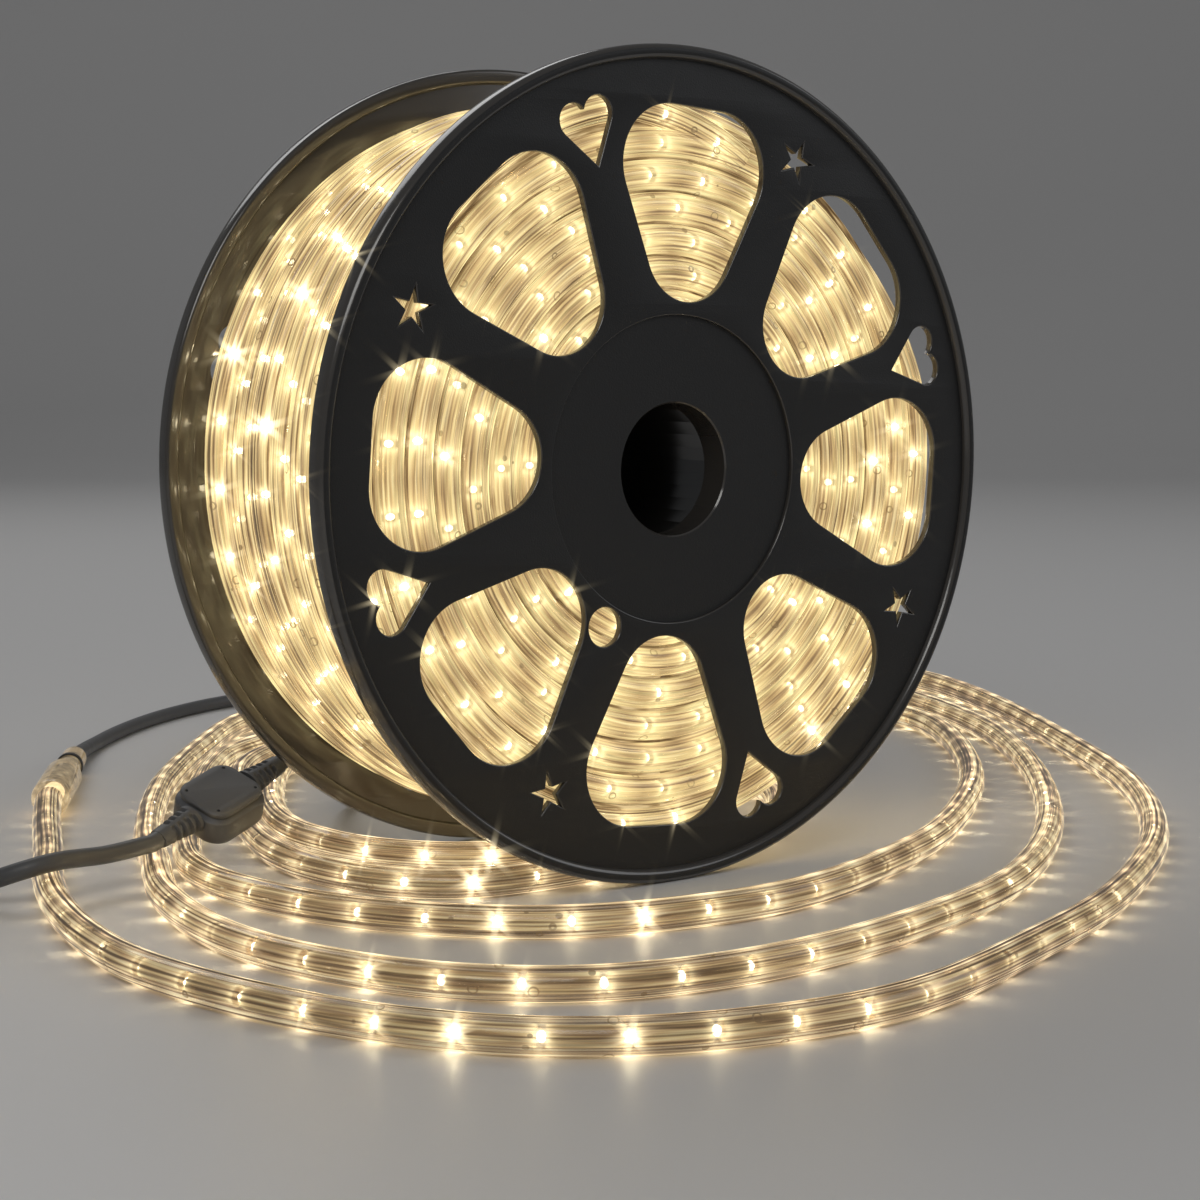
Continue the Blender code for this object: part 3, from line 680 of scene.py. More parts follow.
# Rectifier
# A small charcoal box in two moulded halves, with a lid plate, four screw plugs and a ribbed
# strain relief on each end. It lies across the rope, held by its cables.
body_length = 0.034
body_width = 0.030
body_height = 0.016
body_drop = 0.0015
body_corner = 0.009
relief_length = 0.020
relief_base_radius = 0.0070
relief_tip_radius = 0.0046
relief_flatness = 0.78
rectifier_frame = (
    Matrix.Translation((-0.1382, 0.0743, 0.0287))
    @ Matrix.Rotation(math.radians(17.0), 4, "Z")
    @ Matrix.Rotation(math.radians(-16.5), 4, "Y")
    @ Matrix.Rotation(math.radians(24.0), 4, "X")
)


def add_finish(tree, shader, roughness, grain, strength, depth):
    """Gives a surface its roughness, and a bump from its grain, each of them a socket."""
    tree.links.new(roughness, shader.inputs["Roughness"])
    bump = add_node(
        tree, "ShaderNodeBump", {"Height": grain, "Strength": strength, "Distance": depth}
    )
    tree.links.new(bump.outputs["Normal"], shader.inputs["Normal"])


def make_charcoal(name, colour, bump_strength):
    """Satin charcoal plastic with a fine moulded grain and slight wear in its sheen."""
    material, tree, shader = new_material(name, colour, 0.42)
    sheen = ranged(tree, object_noise(tree, 90.0, 3.0), 0.34, 0.56)
    add_finish(tree, shader, sheen, object_noise(tree, 2600.0, 2.0), bump_strength, 0.0002)
    return material


def rounded(length, width, corner, arc_steps=8):
    """Points of a rectangle with round corners, about the origin, anticlockwise."""
    out_x = length / 2 - corner
    out_y = width / 2 - corner
    points = []
    for quarter, (side_x, side_y) in enumerate(((1, 1), (-1, 1), (-1, -1), (1, -1))):
        start = 90 * quarter
        points += arc(side_x * out_x, side_y * out_y, corner, start, start + 90, arc_steps)
    return points


def lofted(rings):
    """A closed mesh through rings of as many points each, run upwards, with flat ends."""
    shape = bmesh.new()
    rows = [[shape.verts.new(point) for point in ring] for ring in rings]
    for lower, upper in zip(rows, rows[1:]):
        for index in range(len(lower)):
            after = (index + 1) % len(lower)
            shape.faces.new((lower[index], lower[after], upper[after], upper[index]))
    shape.faces.new(list(reversed(rows[0])))
    shape.faces.new(rows[-1])
    return shape


def rounded_block(length, width, corner, steps):
    """A loft of round-cornered outlines, one for each (inset, height)."""
    least_corner = 0.0005
    rings = []
    for inset, height in steps:
        outline = rounded(length - 2 * inset, width - 2 * inset, max(corner - inset, least_corner))
        rings.append([(x, y, height) for x, y in outline])
    return lofted(rings)


def relief_shape(length, base, tip, flatness, ribs, depth):
    """A tapered relief along +X whose slots are cut in from its two sides, up to a plain spine."""
    around = 40
    stations = 72
    foot = 0.0012
    plain_share = 0.26
    taper = 0.8
    slot_from, slot_slope = 0.45, 0.25
    spine_half, spine_slope = 0.22, 0.18
    pitch = (length * (1 - plain_share) - foot) / ribs
    rings = []
    for index in range(stations + 1):
        along = length * index / stations
        radius = base + (tip - base) * (along / length) ** taper
        inside = (along - foot) / pitch
        cut = 0.0
        if 0.0 < inside < ribs:
            wave = math.sin(math.pi * (inside % 1.0))
            cut = min(1.0, max(0.0, (wave - slot_from) / slot_slope))
        ring = []
        for step in range(around):
            turn = math.tau * step / around
            sideways = min(1.0, max(0.0, (abs(math.cos(turn)) - spine_half) / spine_slope))
            size = radius - depth * cut * sideways
            ring.append((along, size * math.cos(turn), size * math.sin(turn) * flatness))
        rings.append(ring)
    return lofted(rings)


cable_charcoal = make_charcoal("cable_charcoal", (0.088, 0.090, 0.094), 0.12)
box_charcoal = make_charcoal("box_charcoal", (0.095, 0.097, 0.102), 0.25)


def make_rectifier_body():
    """The box: a lower half, a groove and the lid, as insets and heights, with four plug holes."""
    top = body_height / 2 - body_drop
    base = -body_height / 2 - body_drop
    sides = [
        (0.0042, base),
        (0.0022, base + 0.0002),
        (0.0009, base + 0.0009),
        (0.0002, base + 0.0022),
        (0.0, base + 0.0040),
        (0.0, top - 0.0058),
        (0.0004, top - 0.0046),
        (0.0013, top - 0.0039),
        (0.0022, top - 0.0036),
        (0.0026, top - 0.0032),
        (0.0025, top - 0.0027),
        (0.0019, top - 0.0023),
        (0.0017, top - 0.0017),
        (0.0018, top - 0.0009),
        (0.0023, top - 0.0003),
        (0.0031, top),
    ]
    shape = rounded_block(body_length, body_width, body_corner, sides)
    body = add_object("rectifier_box", mesh_from("rectifier_box", shape))
    hole = rod((0.0007, -0.0012), (0.0008, 0.0010))
    hole_x = 0.0115
    hole_y = 0.0090
    holes = bmesh.new()
    for x in (hole_x, -hole_x):
        for y in (hole_y, -hole_y):
            add_shape(holes, turned(hole, 16), Matrix.Translation((x, y, top)))
    cutter = add_object("plug_holes", mesh_from("plug_holes", holes))
    cut = body.modifiers.new("plug_holes", "BOOLEAN")
    cut.operation = "DIFFERENCE"
    cut.solver = "EXACT"
    cut.object = cutter
    as_plain_mesh(body)
    bpy.data.objects.remove(cutter)
    body.data.transform(rectifier_frame)
    body.data.materials.clear()
    body.data.materials.append(box_charcoal)
    body.data.shade_smooth()
    body.data.set_sharp_from_angle(angle=math.radians(32))
    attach(body, "root")
    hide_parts("rectifier_body")
    return body


def make_relief(name, side, node):
    """A strain relief on one end of the box: side is 1 for the lead and -1 for the supply cord."""
    shape = relief_shape(
        relief_length, relief_base_radius, relief_tip_radius, relief_flatness, ribs=4, depth=0.0019
    )
    turn = Matrix.Rotation(0.0 if side > 0 else math.pi, 4, "Z")
    foot = Matrix.Translation((side * (body_length / 2 + touch_gap), 0.0, 0.0))
    shape.transform(rectifier_frame @ foot @ turn)
    relief = finish_piece(name, shape, [box_charcoal], 50)
    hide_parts(node)
    return relief


rectifier_box = make_rectifier_body()
lead_relief = make_relief("lead_relief", 1, "lead_strain_relief")
make_relief("supply_relief", -1, "supply_strain_relief")


def relief_end(side, distance):
    """A point beyond a relief's tip, on the cable's own line."""
    reach = body_length / 2 + relief_length + 2 * touch_gap + distance
    return rectifier_frame @ Vector((side * reach, 0.0, 0.0))


# Lead
# A round twin-core cable in charcoal vinyl, from the connector to the rectifier. It lies behind
# the reel and crosses the rope's loops there.
cable_diameter = 0.0076
cable_radius = cable_diameter / 2
cable_step = 0.004
lead_route = [
    (-0.066, 0.357, 0.0062), (-0.047, 0.383, 0.0042), (-0.022, 0.41, 0.004), (0.008, 0.437, 0.004),
    (0.04, 0.46, 0.004), (0.078, 0.479, 0.004), (0.11, 0.483, 0.005), (0.132, 0.47, 0.0095),
    (0.142, 0.452, 0.0154), (0.146, 0.434, 0.0172), (0.147, 0.416, 0.0154), (0.147, 0.397, 0.0128),
    (0.145, 0.38, 0.0148), (0.141, 0.365, 0.0172), (0.137, 0.349, 0.0152), (0.133, 0.332, 0.0152),
    (0.128, 0.3155, 0.0172), (0.122, 0.298, 0.015), (0.115, 0.281, 0.015), (0.107, 0.2645, 0.0172),
    (0.098, 0.248, 0.0145), (0.087, 0.232, 0.009), (0.073, 0.216, 0.005), (0.054, 0.201, 0.004),
    (0.032, 0.189, 0.004), (0.008, 0.178, 0.004), (-0.014, 0.166, 0.005), (-0.031, 0.151, 0.009),
    (-0.044, 0.133, 0.016), (-0.055, 0.117, 0.025), (-0.068, 0.104, 0.034), (-0.083, 0.0945, 0.04),
]


def add_spline(curve, points, closed=False):
    spline = curve.splines.new("POLY")
    spline.points.add(len(points) - 1)
    for point, place in zip(spline.points, points):
        point.co = (*place, 1.0)
    spline.use_cyclic_u = closed


def mesh_from_curve(curve):
    line = add_object(curve.name + "_line", curve)
    mesh = seen_mesh(line)
    bpy.data.objects.remove(line)
    return mesh


def cable_piece(name, path, *nodes):
    """A cable as a mesh tube round its path, with closed ends, in the place of its nodes."""
    curve = bpy.data.curves.new(name, "CURVE")
    curve.dimensions = "3D"
    curve.bevel_depth = cable_radius
    curve.bevel_resolution = 4
    curve.use_fill_caps = True
    add_spline(curve, path)
    mesh = mesh_from_curve(curve)
    mesh.materials.clear()
    mesh.materials.append(cable_charcoal)
    mesh.shade_smooth()
    piece = add_object(name, mesh)
    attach(piece, "root")
    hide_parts(*nodes)
    return piece


lead_points = [connector_end + connector_heading * (sleeve_length + neck_length + touch_gap)]
lead_points += [lead_points[0] + connector_heading * cable_diameter]
lead_points += [Vector(point) for point in lead_route]
lead_points += [relief_end(1, cable_diameter), relief_end(1, 0.0)]
lead_path = smooth_path(lead_points, cable_step)
for point in lead_path:
    point.z = max(point.z, cable_radius + floor_gap)
power_lead = cable_piece("power_lead", lead_path, "lead")

# Supply cord
# The same cable on to the wall plug. Its spare length is wound into a neat round coil of five
# turns, three on the floor and two on them, and its end comes over the coil to the plug.
supply_route = [
    (-0.182, 0.0618, 0.0166), (-0.19, 0.061, 0.0159), (-0.2, 0.059, 0.0157), (-0.21, 0.0565, 0.0164),
    (-0.221, 0.0525, 0.0174), (-0.229, 0.051, 0.0171), (-0.237, 0.0535, 0.0152),
    (-0.2435, 0.0595, 0.0122), (-0.2475, 0.067, 0.009), (-0.2495, 0.075, 0.0066),
]
spare_middle = Vector((-0.3076, 0.0840, 0.0))
low_turn_height = 0.0052
high_turn_height = low_turn_height + 0.0066
plug_height = 0.0244
plug_tail_place = Vector((0.0090, 0.0310, 0.0))
# The winding's radius, and then its height, at numbers of turns from its start
spare_radii = [
    (0.0, 0.0576), (0.3, 0.0498), (0.95, 0.0498), (1.2, 0.0420), (1.95, 0.0420), (2.2, 0.0342),
    (2.95, 0.0342), (3.15, 0.0381), (3.95, 0.0381), (4.15, 0.0458), (4.85, 0.0458), (5.25, 0.0310),
]
spare_heights = [
    (0.0, low_turn_height), (2.95, low_turn_height), (3.15, high_turn_height),
    (4.80, high_turn_height), (5.16, plug_height), (5.25, plug_height),
]


def eased(stops, place):
    """A value that goes smoothly from stop to stop."""
    for (start, first), (finish, second) in zip(stops, stops[1:]):
        if place <= finish:
            share = (place - start) / (finish - start)
            return first + (second - first) * share * share * (3 - 2 * share)
    return stops[-1][1]


supply_points = [relief_end(-1, 0.0), relief_end(-1, cable_radius)]
supply_points += [Vector(point) for point in supply_route]
turn_steps = 24
spare_turns = spare_radii[-1][0]
for index in range(round(spare_turns * turn_steps)):
    place = index / turn_steps
    radius = eased(spare_radii, place)
    turn = math.tau * place
    around = Vector((radius * math.cos(turn), radius * math.sin(turn), eased(spare_heights, place)))
    supply_points.append(spare_middle + around)
plug_entry = spare_middle + plug_tail_place + Vector((0.0, 0.0, plug_height))
supply_points += [plug_entry + Vector((ahead, 0.0, 0.0)) for ahead in (0.008, touch_gap)]
supply_path = smooth_path(supply_points, cable_step)
supply_cable = cable_piece("supply_cable", supply_path, "supply_cord", "supply_coil")

# Plug
# A two-pin flat-blade plug with a ribbed tail, moulded on the cord's end. It lies on the coil.
plug_tail_length = 0.022
plug_tail_radius = 0.0052
plug_length = 0.032
plug_width = 0.025
plug_thickness = 0.017
plug_corner = 0.006
plug_tail_flare = 1.45
plug_frame = Matrix.Translation(plug_entry) @ Matrix.Rotation(math.pi, 4, "Z")


def make_plug_body():
    """Two rounded halves with a fine parting line, as insets and heights."""
    half = plug_thickness / 2
    sides = [
        (0.0036, -half),
        (0.0016, -half + 0.0005),
        (0.0004, -half + 0.0017),
        (0.0, -half + 0.0036),
        (0.0, -0.0005),
        (0.0004, 0.0),
        (0.0, 0.0005),
        (0.0, half - 0.0036),
        (0.0004, half - 0.0017),
        (0.0016, half - 0.0005),
        (0.0036, half),
    ]
    shape = rounded_block(plug_length, plug_width, plug_corner, sides)
    middle = plug_tail_length + touch_gap + plug_length / 2
    shape.transform(plug_frame @ Matrix.Translation((middle, 0.0, 0.0)))
    body = finish_piece("plug_moulding", shape, [box_charcoal], 40)
    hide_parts("plug_body")
    return body


def make_plug_tail():
    """The plug's ribbed tail, wide at the plug and narrow at the cord."""
    base = plug_tail_radius * plug_tail_flare
    shape = relief_shape(plug_tail_length, base, plug_tail_radius, 1.0, ribs=5, depth=0.0016)
    flip = Matrix.Translation((plug_tail_length, 0.0, 0.0)) @ Matrix.Rotation(math.pi, 4, "Z")
    shape.transform(plug_frame @ flip)
    tail = finish_piece("plug_tail", shape, [box_charcoal], 50)
    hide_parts("plug_strain_relief")
    return tail


plug_moulding = make_plug_body()
plug_tail = make_plug_tail()
blade_metal, blade_tree, blade_shader = new_material(
    "blade_metal", (0.72, 0.70, 0.66), 0.25, Metallic=1.0
)
blade_sheen = ranged(blade_tree, object_noise(blade_tree, 900.0, 3.0), 0.18, 0.4)
blade_tree.links.new(blade_sheen, blade_shader.inputs["Roughness"])
tie_strap = make_charcoal("tie_strap", (0.018, 0.018, 0.018), 0.3)
# The blades and the tie keep the meshes of the model
for node, finish in (
    ("plug_blade_left", blade_metal),
    ("plug_blade_right", blade_metal),
    ("supply_tie", tie_strap),
):
    bpy.data.objects[node].material_slots[0].material = finish

# Wound rope
# The rest of the rope, wound on the barrel in seven layers of nine turns, all lit. What shows is
# the outer layer, and through the flanges' windows the end turns of the layers under it.
barrel_radius = 0.0600
layer_pitch = 0.0131
layers_deep = 7
turns_across = 9
coil_half_width = turns_across * rope_radius
layer_start = 160
climb_end = 186
step_over_from = 0.84
step_over_dip = 0.0050
outer_layer_shift = 0.0022
shift_towards = 270
seam_angles = {-1: 153.2, 1: 206.8}
crease_shade_width = 0.0008


def ring_path(radius, place, seam, wander, phase):
    """One turn of rope round the barrel, a little uneven, that ends where it starts."""
    count = steps_a_diode * round(math.tau * radius / diode_pitch)
    path = []
    for index in range(count + 1):
        turn = math.tau * index / count
        out = radius + wander * math.sin(3 * turn + phase)
        side = place + wander * math.sin(2 * turn + 2.3 * phase)
        path.append(coil_point(seam + math.degrees(turn), out, side))
    return path


def outer_layer_path():
    """The outer layer in one line, a little uneven.

    It climbs out of the layer below, and each turn steps over by one place, a little sunk, where
    the winding is slack at the upper right.
    """
    pace_wander = 0.010
    slow_wander = 0.0007
    quick_wander = 0.0005
    radius = coil_radius - rope_radius
    count = steps_a_diode * round(turns_across * math.tau * radius / diode_pitch)
    path = []
    for index in range(count + 1):
        even = turns_across * index / count
        turns = even + pace_wander * (math.sin(4.1 * even) + 0.7 * math.sin(7.3 * even + 1.0))
        step_over = max(0.0, turns % 1.0 - step_over_from) / (1 - step_over_from)
        sunk = step_over_dip * math.sin(math.pi * step_over)
        if turns >= turns_across - 1:
            step_over = 0.0
        layer_turn = math.floor(min(turns, turns_across - 0.001))
        across = layer_turn + step_over ** 2 * (3 - 2 * step_over)
        degrees = 360 * turns + layer_start
        sunk += layer_pitch * max(0.0, 1 - (degrees - layer_start) / (climb_end - layer_start))
        uneven = slow_wander * math.sin(math.radians(2.3 * degrees))
        uneven += quick_wander * math.sin(17.0 * turns)
        shift = outer_layer_shift * math.cos(math.radians(degrees - shift_towards))
        place = -coil_half_width + rope_radius + 2 * rope_radius * max(0.0, across)
        path.append(coil_point(degrees, radius + shift + uneven - sunk, place))
    return path


def from_reel_middle(tree):
    """Sockets: the offset from the reel's middle along X, Y and Z, and the distance from its axis."""
    place = add_node(tree, "ShaderNodeTexCoord").outputs["Object"]
    offset = add_node(
        tree, "ShaderNodeVectorMath", {0: place, 1: reel_middle}, operation="SUBTRACT"
    ).outputs[0]
    flat = add_node(
        tree, "ShaderNodeVectorMath", {0: offset, 1: (1.0, 0.0, 1.0)}, operation="MULTIPLY"
    ).outputs[0]
    out = add_node(tree, "ShaderNodeVectorMath", {0: flat}, operation="LENGTH").outputs["Value"]
    split = add_node(tree, "ShaderNodeSeparateXYZ", {0: offset}).outputs
    return split["X"], split["Y"], split["Z"], out


def paint_crease_shade(sleeve):
    """Paints shade on the line where each end turn lies on the one under it: the light there falls to
    nothing.
    """
    tree = sleeve.node_tree
    _, _, _, out = from_reel_middle(tree)
    # Painted shade: the rope's light fades out within a crease width of each layer's boundary
    height = number(tree, "SUBTRACT", out, barrel_radius + touch_gap)
    away = number(tree, "PINGPONG", height, layer_pitch / 2)
    unshaded_share = number(tree, "MULTIPLY", away, 1 / crease_shade_width, clamp=True)
    scale_emission(sleeve, unshaded_share)


def make_rope_ends():
    """The end turns of the layers under the outer one, every other layer a little further in."""
    seam_step = 135
    step_in = 0.0004
    lines = []
    for layer in range(layers_deep - 1):
        radius = barrel_radius + touch_gap + layer_pitch * (layer + 0.5)
        for side in (1, -1):
            place = side * (coil_half_width - rope_radius - step_in * (layer % 2))
            seam = seam_angles[side] + seam_step * layer
            path = ring_path(radius, place, seam, wander=0.0005, phase=1.7 * layer + side)
            lines.append((path, (3 * layer + side) % steps_a_diode))
    sleeve = make_rope_sleeve(
        "ends_sleeve", wound_stops, dimmest=0.82, brightest=0.94, contrast=0.64, spread=0.0095, lift=0.090
    )
    paint_crease_shade(sleeve)
    return rope_from_lines(
        "rope_ends",
        lines,
        sleeve_sides=14,
        core_sides=8,
        sleeve=sleeve,
        core=make_rope_core("ends_core", 0.88),
        diode=make_rope_diode("ends_diode", weakest=3.0, strongest=22.0),
    )


def make_coil_depth():
    """What lies deeper in the winding, between the turns that show: streaks round the reel."""
    across_scale = 700.0
    around_scale = 7.0
    below_outer_layer = 0.0025
    depth, tree, shader = new_material("rope_depth", (0.12, 0.07, 0.03), 0.5)
    x, y, z, out = from_reel_middle(tree)
    place = add_node(
        tree,
        "ShaderNodeCombineXYZ",
        {
            0: number(tree, "MULTIPLY", out, across_scale),
            1: number(tree, "MULTIPLY", number(tree, "ARCTAN2", x, z), around_scale),
            2: number(tree, "MULTIPLY", y, across_scale),
        },
    )
    sizes = {"Vector": place.outputs[0], "Scale": 1.0, "Detail": 2.0}
    streaks = add_node(tree, "ShaderNodeTexNoise", sizes).outputs["Fac"]
    stops = [(0.36, (0.10, 0.06, 0.025)), (0.50, (0.42, 0.28, 0.12)), (0.64, (0.92, 0.70, 0.36))]
    tree.links.new(colour_ramp(tree, streaks, stops), shader.inputs["Emission Color"])
    shader.inputs["Emission Strength"].default_value = 0.75
    depth.cycles.emission_sampling = "NONE"
    inner = barrel_radius + 2 * touch_gap
    outer = coil_radius - rope_radius - below_outer_layer
    half = coil_half_width - rope_radius
    profile = [(inner, half), (outer, half), (outer, -half), (inner, -half), (inner, half)]
    shape = turned(profile, 96)
    shape.transform(Matrix.Translation(reel_middle) @ Matrix.Rotation(math.radians(90), 4, "X"))
    piece = finish_piece("rope_depth", shape, [depth], 40)


wound_stops = [
    (0.38, (0.035, 0.020, 0.010)),
    (0.45, (0.27, 0.175, 0.085)),
    (0.52, (0.60, 0.43, 0.205)),
    (0.59, (0.90, 0.74, 0.33)),
    (0.68, (0.98, 0.91, 0.46)),
]
wound_sleeve = make_rope_sleeve(
    "wound_sleeve", wound_stops, dimmest=0.84, brightest=1.02, contrast=0.85, spread=0.0070, lift=0.06
)
wound_rope = rope_from_lines(
    "wound_rope",
    [(outer_layer_path(), 0)],
    sleeve_sides=14,
    core_sides=8,
    sleeve=wound_sleeve,
    core=make_rope_core("wound_core", 0.93),
    diode=rope_diode,
)
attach(wound_rope, "root")
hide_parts("rope_coil")
rope_ends = make_rope_ends()
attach(rope_ends, "root")
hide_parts("rope_coil")
make_coil_depth()

# Flanges
# Two like mouldings in black plastic: a flat web with eight large windows, hearts, stars and a
# hole for the rope's end, a round bead at the rim, and a sunk hub with a collar round the bore.
flange_radius = 0.170
flange_inner_place = coil_half_width + 0.0005
web_thickness = 0.0036
web_edge = 0.0007
rim_width = 0.006
rim_proud_outside = 0.003
rim_proud_inside = 0.002
hub_radius = 0.0625
hub_depth = 0.0016
bore_radius = 0.027
collar_wall = 0.0025
collar_length = 0.012
spigot_radius = 0.0572
spigot_wall = 0.002
spigot_length = 0.006
rope_hole_radius = 0.008
rope_hole_place = 0.072
rope_hole_angle = -149.5
window_angle = 4.3
heart_place = 0.1465
heart_angle = -18.2
star_place = 0.142
star_angle = 26.8


def make_black(name, colour, roughness, grain_strength, grain_scale):
    """Black plastic whose skin takes the mould's own grain."""
    material, tree, shader = new_material(name, colour, roughness)
    flow = object_noise(tree, 24.0, 4.0, Distortion=0.8)
    sheen = ranged(tree, flow, roughness - 0.07, roughness + 0.10)
    add_finish(tree, shader, sheen, object_noise(tree, grain_scale, 3.0), grain_strength, 0.0003)
    return material


def circle(radius, place=0.0, angle=0.0, steps=48):
    """A circle whose middle lies out from the reel's axis, at an angle clockwise from the top."""
    turn = math.radians(angle)
    return arc(place * math.sin(turn), place * math.cos(turn), radius, 0, 360, steps)[:-1]


def belt(circles, arc_step):
    """Outline of a belt round circles (x, y, radius), anticlockwise, with arc_step in degrees."""
    normals = []
    for index, (x, y, radius) in enumerate(circles):
        next_x, next_y, next_radius = circles[(index + 1) % len(circles)]
        way = math.atan2(next_y - y, next_x - x)
        normals.append(way - math.acos((radius - next_radius) / math.hypot(next_x - x, next_y - y)))
    outline = []
    for index, (x, y, radius) in enumerate(circles):
        start = math.degrees(normals[index - 1])
        sweep = math.degrees(normals[index]) - start
        sweep %= 360
        outline += arc(x, y, radius, start, start + sweep, max(1, round(sweep / arc_step)))
    return outline


def heart():
    """A heart with its point down, about the middle of its lobes."""
    lobe = 0.0068
    offset = 0.0062
    length = 0.0200
    start = math.atan2(length, offset) - math.acos(-lobe / math.hypot(offset, length))
    finish = math.pi - math.acos(offset / lobe)
    right = arc(offset, 0.0, lobe, math.degrees(start), math.degrees(finish), 14)
    right[-1] = (0.0, right[-1][1])
    return [(0.0, -length)] + right + [(-x, y) for x, y in reversed(right[:-1])]


def star():
    """A five-pointed star, with one point up."""
    tip_radius = 0.0088
    notch_radius = 0.0030
    outline = []
    for index in range(10):
        radius = notch_radius if index % 2 else tip_radius
        turn = math.pi / 2 + math.pi * index / 5
        outline.append((radius * math.cos(turn), radius * math.sin(turn)))
    return outline


def placed(outline, place, angle):
    """Moves an outline out from the reel's axis, and round clockwise by degrees."""
    sine = math.sin(math.radians(angle))
    cosine = math.cos(math.radians(angle))
    return [((y + place) * sine + x * cosine, (y + place) * cosine - x * sine) for x, y in outline]


def flange_outlines():
    """The web's own edges: its rim, its hub's step, and every window."""
    rim_lap = 0.001
    window_corners = [(0.0125, 0.122, 0.024), (-0.0125, 0.122, 0.024), (0.0, 0.090, 0.022)]
    window = belt(window_corners, 5)
    outlines = [circle(flange_radius - rim_width + rim_lap, steps=192), circle(hub_radius, steps=128)]
    outlines += [placed(window, 0.0, 45 * index + window_angle) for index in range(8)]
    outlines += [placed(heart(), heart_place, 90 * index + heart_angle) for index in range(4)]
    outlines += [placed(star(), star_place, 90 * index + star_angle) for index in range(4)]
    outlines.append(circle(rope_hole_radius, rope_hole_place, rope_hole_angle, 40))
    return outlines


def flat_plate(outlines, thickness, edge):
    """A plate with round edges from flat outlines, with its lower side at height 0."""
    curve = bpy.data.curves.new("plate", "CURVE")
    curve.dimensions = "2D"
    curve.fill_mode = "BOTH"
    curve.extrude = thickness / 2 - edge
    curve.bevel_depth = edge
    curve.bevel_resolution = 3
    curve.offset = -edge
    for outline in outlines:
        add_spline(curve, [(x, y, 0.0) for x, y in outline], closed=True)
    shape = bmesh.new()
    shape.from_mesh(mesh_from_curve(curve))
    bmesh.ops.remove_doubles(shape, verts=shape.verts, dist=0.00001)
    bmesh.ops.recalc_face_normals(shape, faces=shape.faces)
    bmesh.ops.translate(shape, vec=(0.0, 0.0, thickness / 2), verts=shape.verts)
    return shape


def bead_profile():
    """Section of the rim: a round bead outside and a lower one inside, with its foot in the web."""
    bead = rim_width / 2
    outer_round = 0.0015
    inner_round = 0.0012
    foot = 0.0008
    foot_inset = 0.0004
    inner = flange_radius - rim_width
    top = web_thickness + rim_proud_outside
    low = -rim_proud_inside
    points = [(inner - foot, foot_inset), (inner - foot, web_thickness - foot_inset)]
    points += arc(inner + bead, top - bead, bead, 180, 0, 8)
    points += arc(flange_radius - outer_round, low + outer_round, outer_round, 0, -90, 4)
    points += arc(inner + inner_round, low + inner_round, inner_round, -90, -180, 4)
    points.append(points[0])
    return points


def hub_profile():
    """Section of the hub: the sunk plate, the collar round the bore and the barrel's spigot."""
    plate = web_thickness - hub_depth
    plate_under = 0.0003
    lap = 0.0009
    outer_chamfer = 0.0006
    inner_chamfer = 0.0005
    return [
        (hub_radius + lap, plate_under),
        (hub_radius + lap, plate),
        (bore_radius + outer_chamfer, plate),
        (bore_radius, plate - outer_chamfer),
        (bore_radius, inner_chamfer - collar_length),
        (bore_radius + inner_chamfer, -collar_length),
        (bore_radius + collar_wall, -collar_length),
        (bore_radius + collar_wall, plate_under),
        (spigot_radius - spigot_wall, plate_under),
        (spigot_radius - spigot_wall, -spigot_length),
        (spigot_radius, -spigot_length),
        (spigot_radius, plate_under),
        (hub_radius + lap, plate_under),
    ]


black_grained = make_black("black_grained", (0.009, 0.009, 0.0095), 0.50, 0.35, 1500.0)
# The polished black is painted about five times lighter than the grained black: real gloss, with painted
# highlight on the edges and walls that take it
black_polished = make_black("black_polished", (0.046, 0.042, 0.038), 0.14, 0.03, 300.0)
black_polished.node_tree.nodes["Principled BSDF"].inputs["Specular IOR Level"].default_value = 0.9


def make_flange(name, outward, node):
    """One flange, whose outer side faces -Y where outward is -1, and +Y where it is 1.

    Its flat outer faces are grained, and the rest is polished and painted lighter, a painted highlight
    that shows its edges and walls as pale lines.
    """
    shape = bmesh.new()
    add_shape(shape, flat_plate(flange_outlines(), web_thickness, web_edge))
    add_shape(shape, turned(bead_profile(), 192))
    add_shape(shape, turned(hub_profile(), 128))
    for face in shape.faces:
        faces_outwards = face.normal.z > 0.98
        face.material_index = 0 if faces_outwards else 1
    around = Matrix.Rotation(0.0 if outward < 0 else math.pi, 4, "Z")
    place = reel_middle + Vector((0.0, outward * flange_inner_place, 0.0))
    shape.transform(Matrix.Translation(place) @ around @ Matrix.Rotation(math.radians(90), 4, "X"))
    flange = finish_piece(name, shape, [black_grained, black_polished], 40)
    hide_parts(node)


make_flange("reel_front", -1, "front_flange")
make_flange("reel_rear", 1, "rear_flange")

# Barrel
# The plain tube between the flanges that carries the winding, in the same black plastic. It sits
# over a short spigot on each flange's hub.
# It takes the flanges' polished black, which is painted lighter
bpy.data.objects["barrel"].material_slots[0].material = black_polished

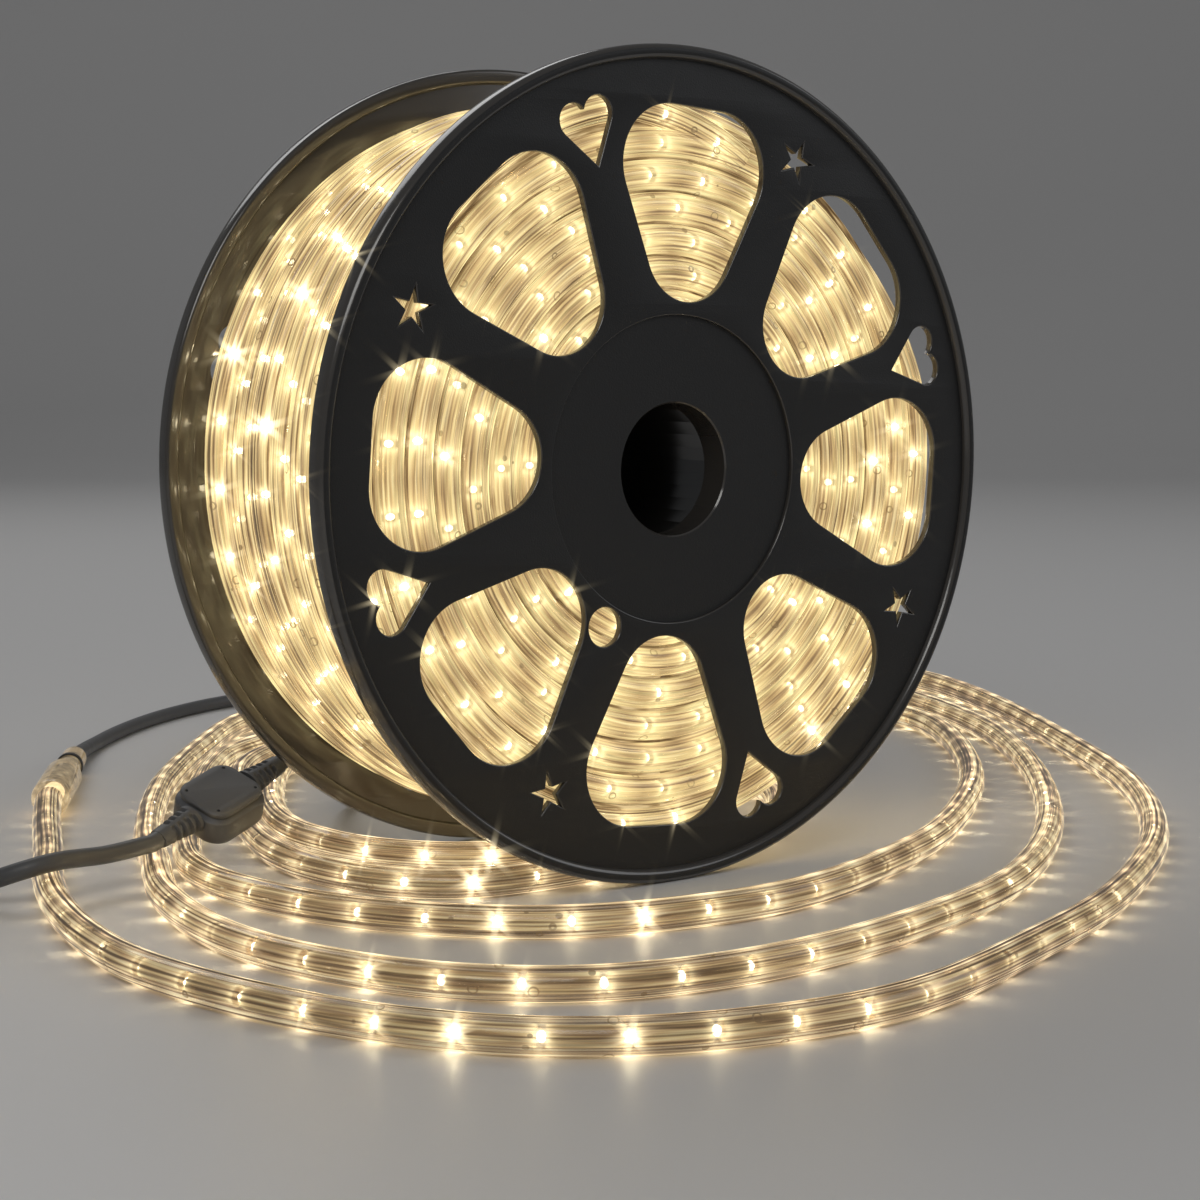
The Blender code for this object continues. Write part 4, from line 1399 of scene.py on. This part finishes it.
# Floor and light
# A plain pale floor that sweeps up behind, and large soft lamps, dim enough for the rope to glow.
def make_floor():
    """A floor that curves up into a wall, square to the camera."""
    front = -4.0
    back = 3.0
    bend = 1.5
    wall_top = 4.5
    half_width = 6.0
    material, _, _ = new_material("pale_floor", (0.74, 0.73, 0.72), 0.45)
    outline = [(front, 0.0), *arc(back, bend, bend, -90, 0, 9), (back + bend, wall_top)]
    shape = bmesh.new()
    rows = [[shape.verts.new((x, y, z)) for x in (-half_width, half_width)] for y, z in outline]
    for lower, upper in zip(rows, rows[1:]):
        face = shape.faces.new((lower[0], lower[1], upper[1], upper[0]))
        face.smooth = True
    shape.transform(Matrix.Rotation(camera_heading, 4, "Z"))
    floor = add_object("floor", mesh_from("floor", shape))
    floor.data.materials.append(material)


lamp_target = Vector((0.0, 0.0, 0.15))
lamp_height_share = 0.6


def soft_lamp(name, place, size, power, colour):
    """A wide lamp that points at the reel, with power in watts."""
    data = bpy.data.lights.new(name, "AREA")
    data.shape = "RECTANGLE"
    data.size = size
    data.size_y = size * lamp_height_share
    data.energy = power
    data.color = colour
    lamp = add_object(name, data)
    lamp.location = place
    lamp.rotation_euler = (lamp_target - lamp.location).to_track_quat("-Z", "Y").to_euler()


def add_flare():
    """What a lens adds round such small bright lamps: fine six-pointed stars and a faint haze."""
    scene = bpy.context.scene
    scene.use_nodes = True
    tree = scene.node_tree
    tree.nodes.clear()
    picture = add_node(tree, "CompositorNodeRLayers").outputs["Image"]
    haze = {"Image": picture, "Threshold": 2.0, "Strength": 0.08, "Size": 0.35}
    hazy = add_node(tree, "CompositorNodeGlare", haze, glare_type="BLOOM", quality="HIGH")
    stars = {
        "Image": hazy.outputs["Image"],
        "Threshold": 2.6,
        "Strength": 0.42,
        "Streaks": 6,
        "Streaks Angle": math.radians(17),
        "Iterations": 3,
        "Fade": 0.86,
        "Color Modulation": 0.0,
    }
    starry = add_node(tree, "CompositorNodeGlare", stars, glare_type="STREAKS", quality="HIGH")
    add_node(tree, "CompositorNodeComposite", {"Image": starry.outputs["Image"]})


make_floor()
add_flare()
soft_lamp("key_lamp", (-1.6, -1.5, 1.7), 1.6, 16.0, (1.0, 0.98, 0.95))
soft_lamp("fill_lamp", (1.9, -1.2, 1.3), 1.8, 7.0, (0.95, 0.97, 1.0))
soft_lamp("back_lamp", (0.4, 2.0, 1.9), 1.8, 10.0, (1.0, 1.0, 1.0))
world = bpy.data.worlds.new("studio")
bpy.context.scene.world = world
world.use_nodes = True
background = world.node_tree.nodes["Background"]
background.inputs["Color"].default_value = (0.95, 0.97, 1.0, 1.0)
background.inputs["Strength"].default_value = 0.16
bpy.context.scene.view_settings.view_transform = "Standard"
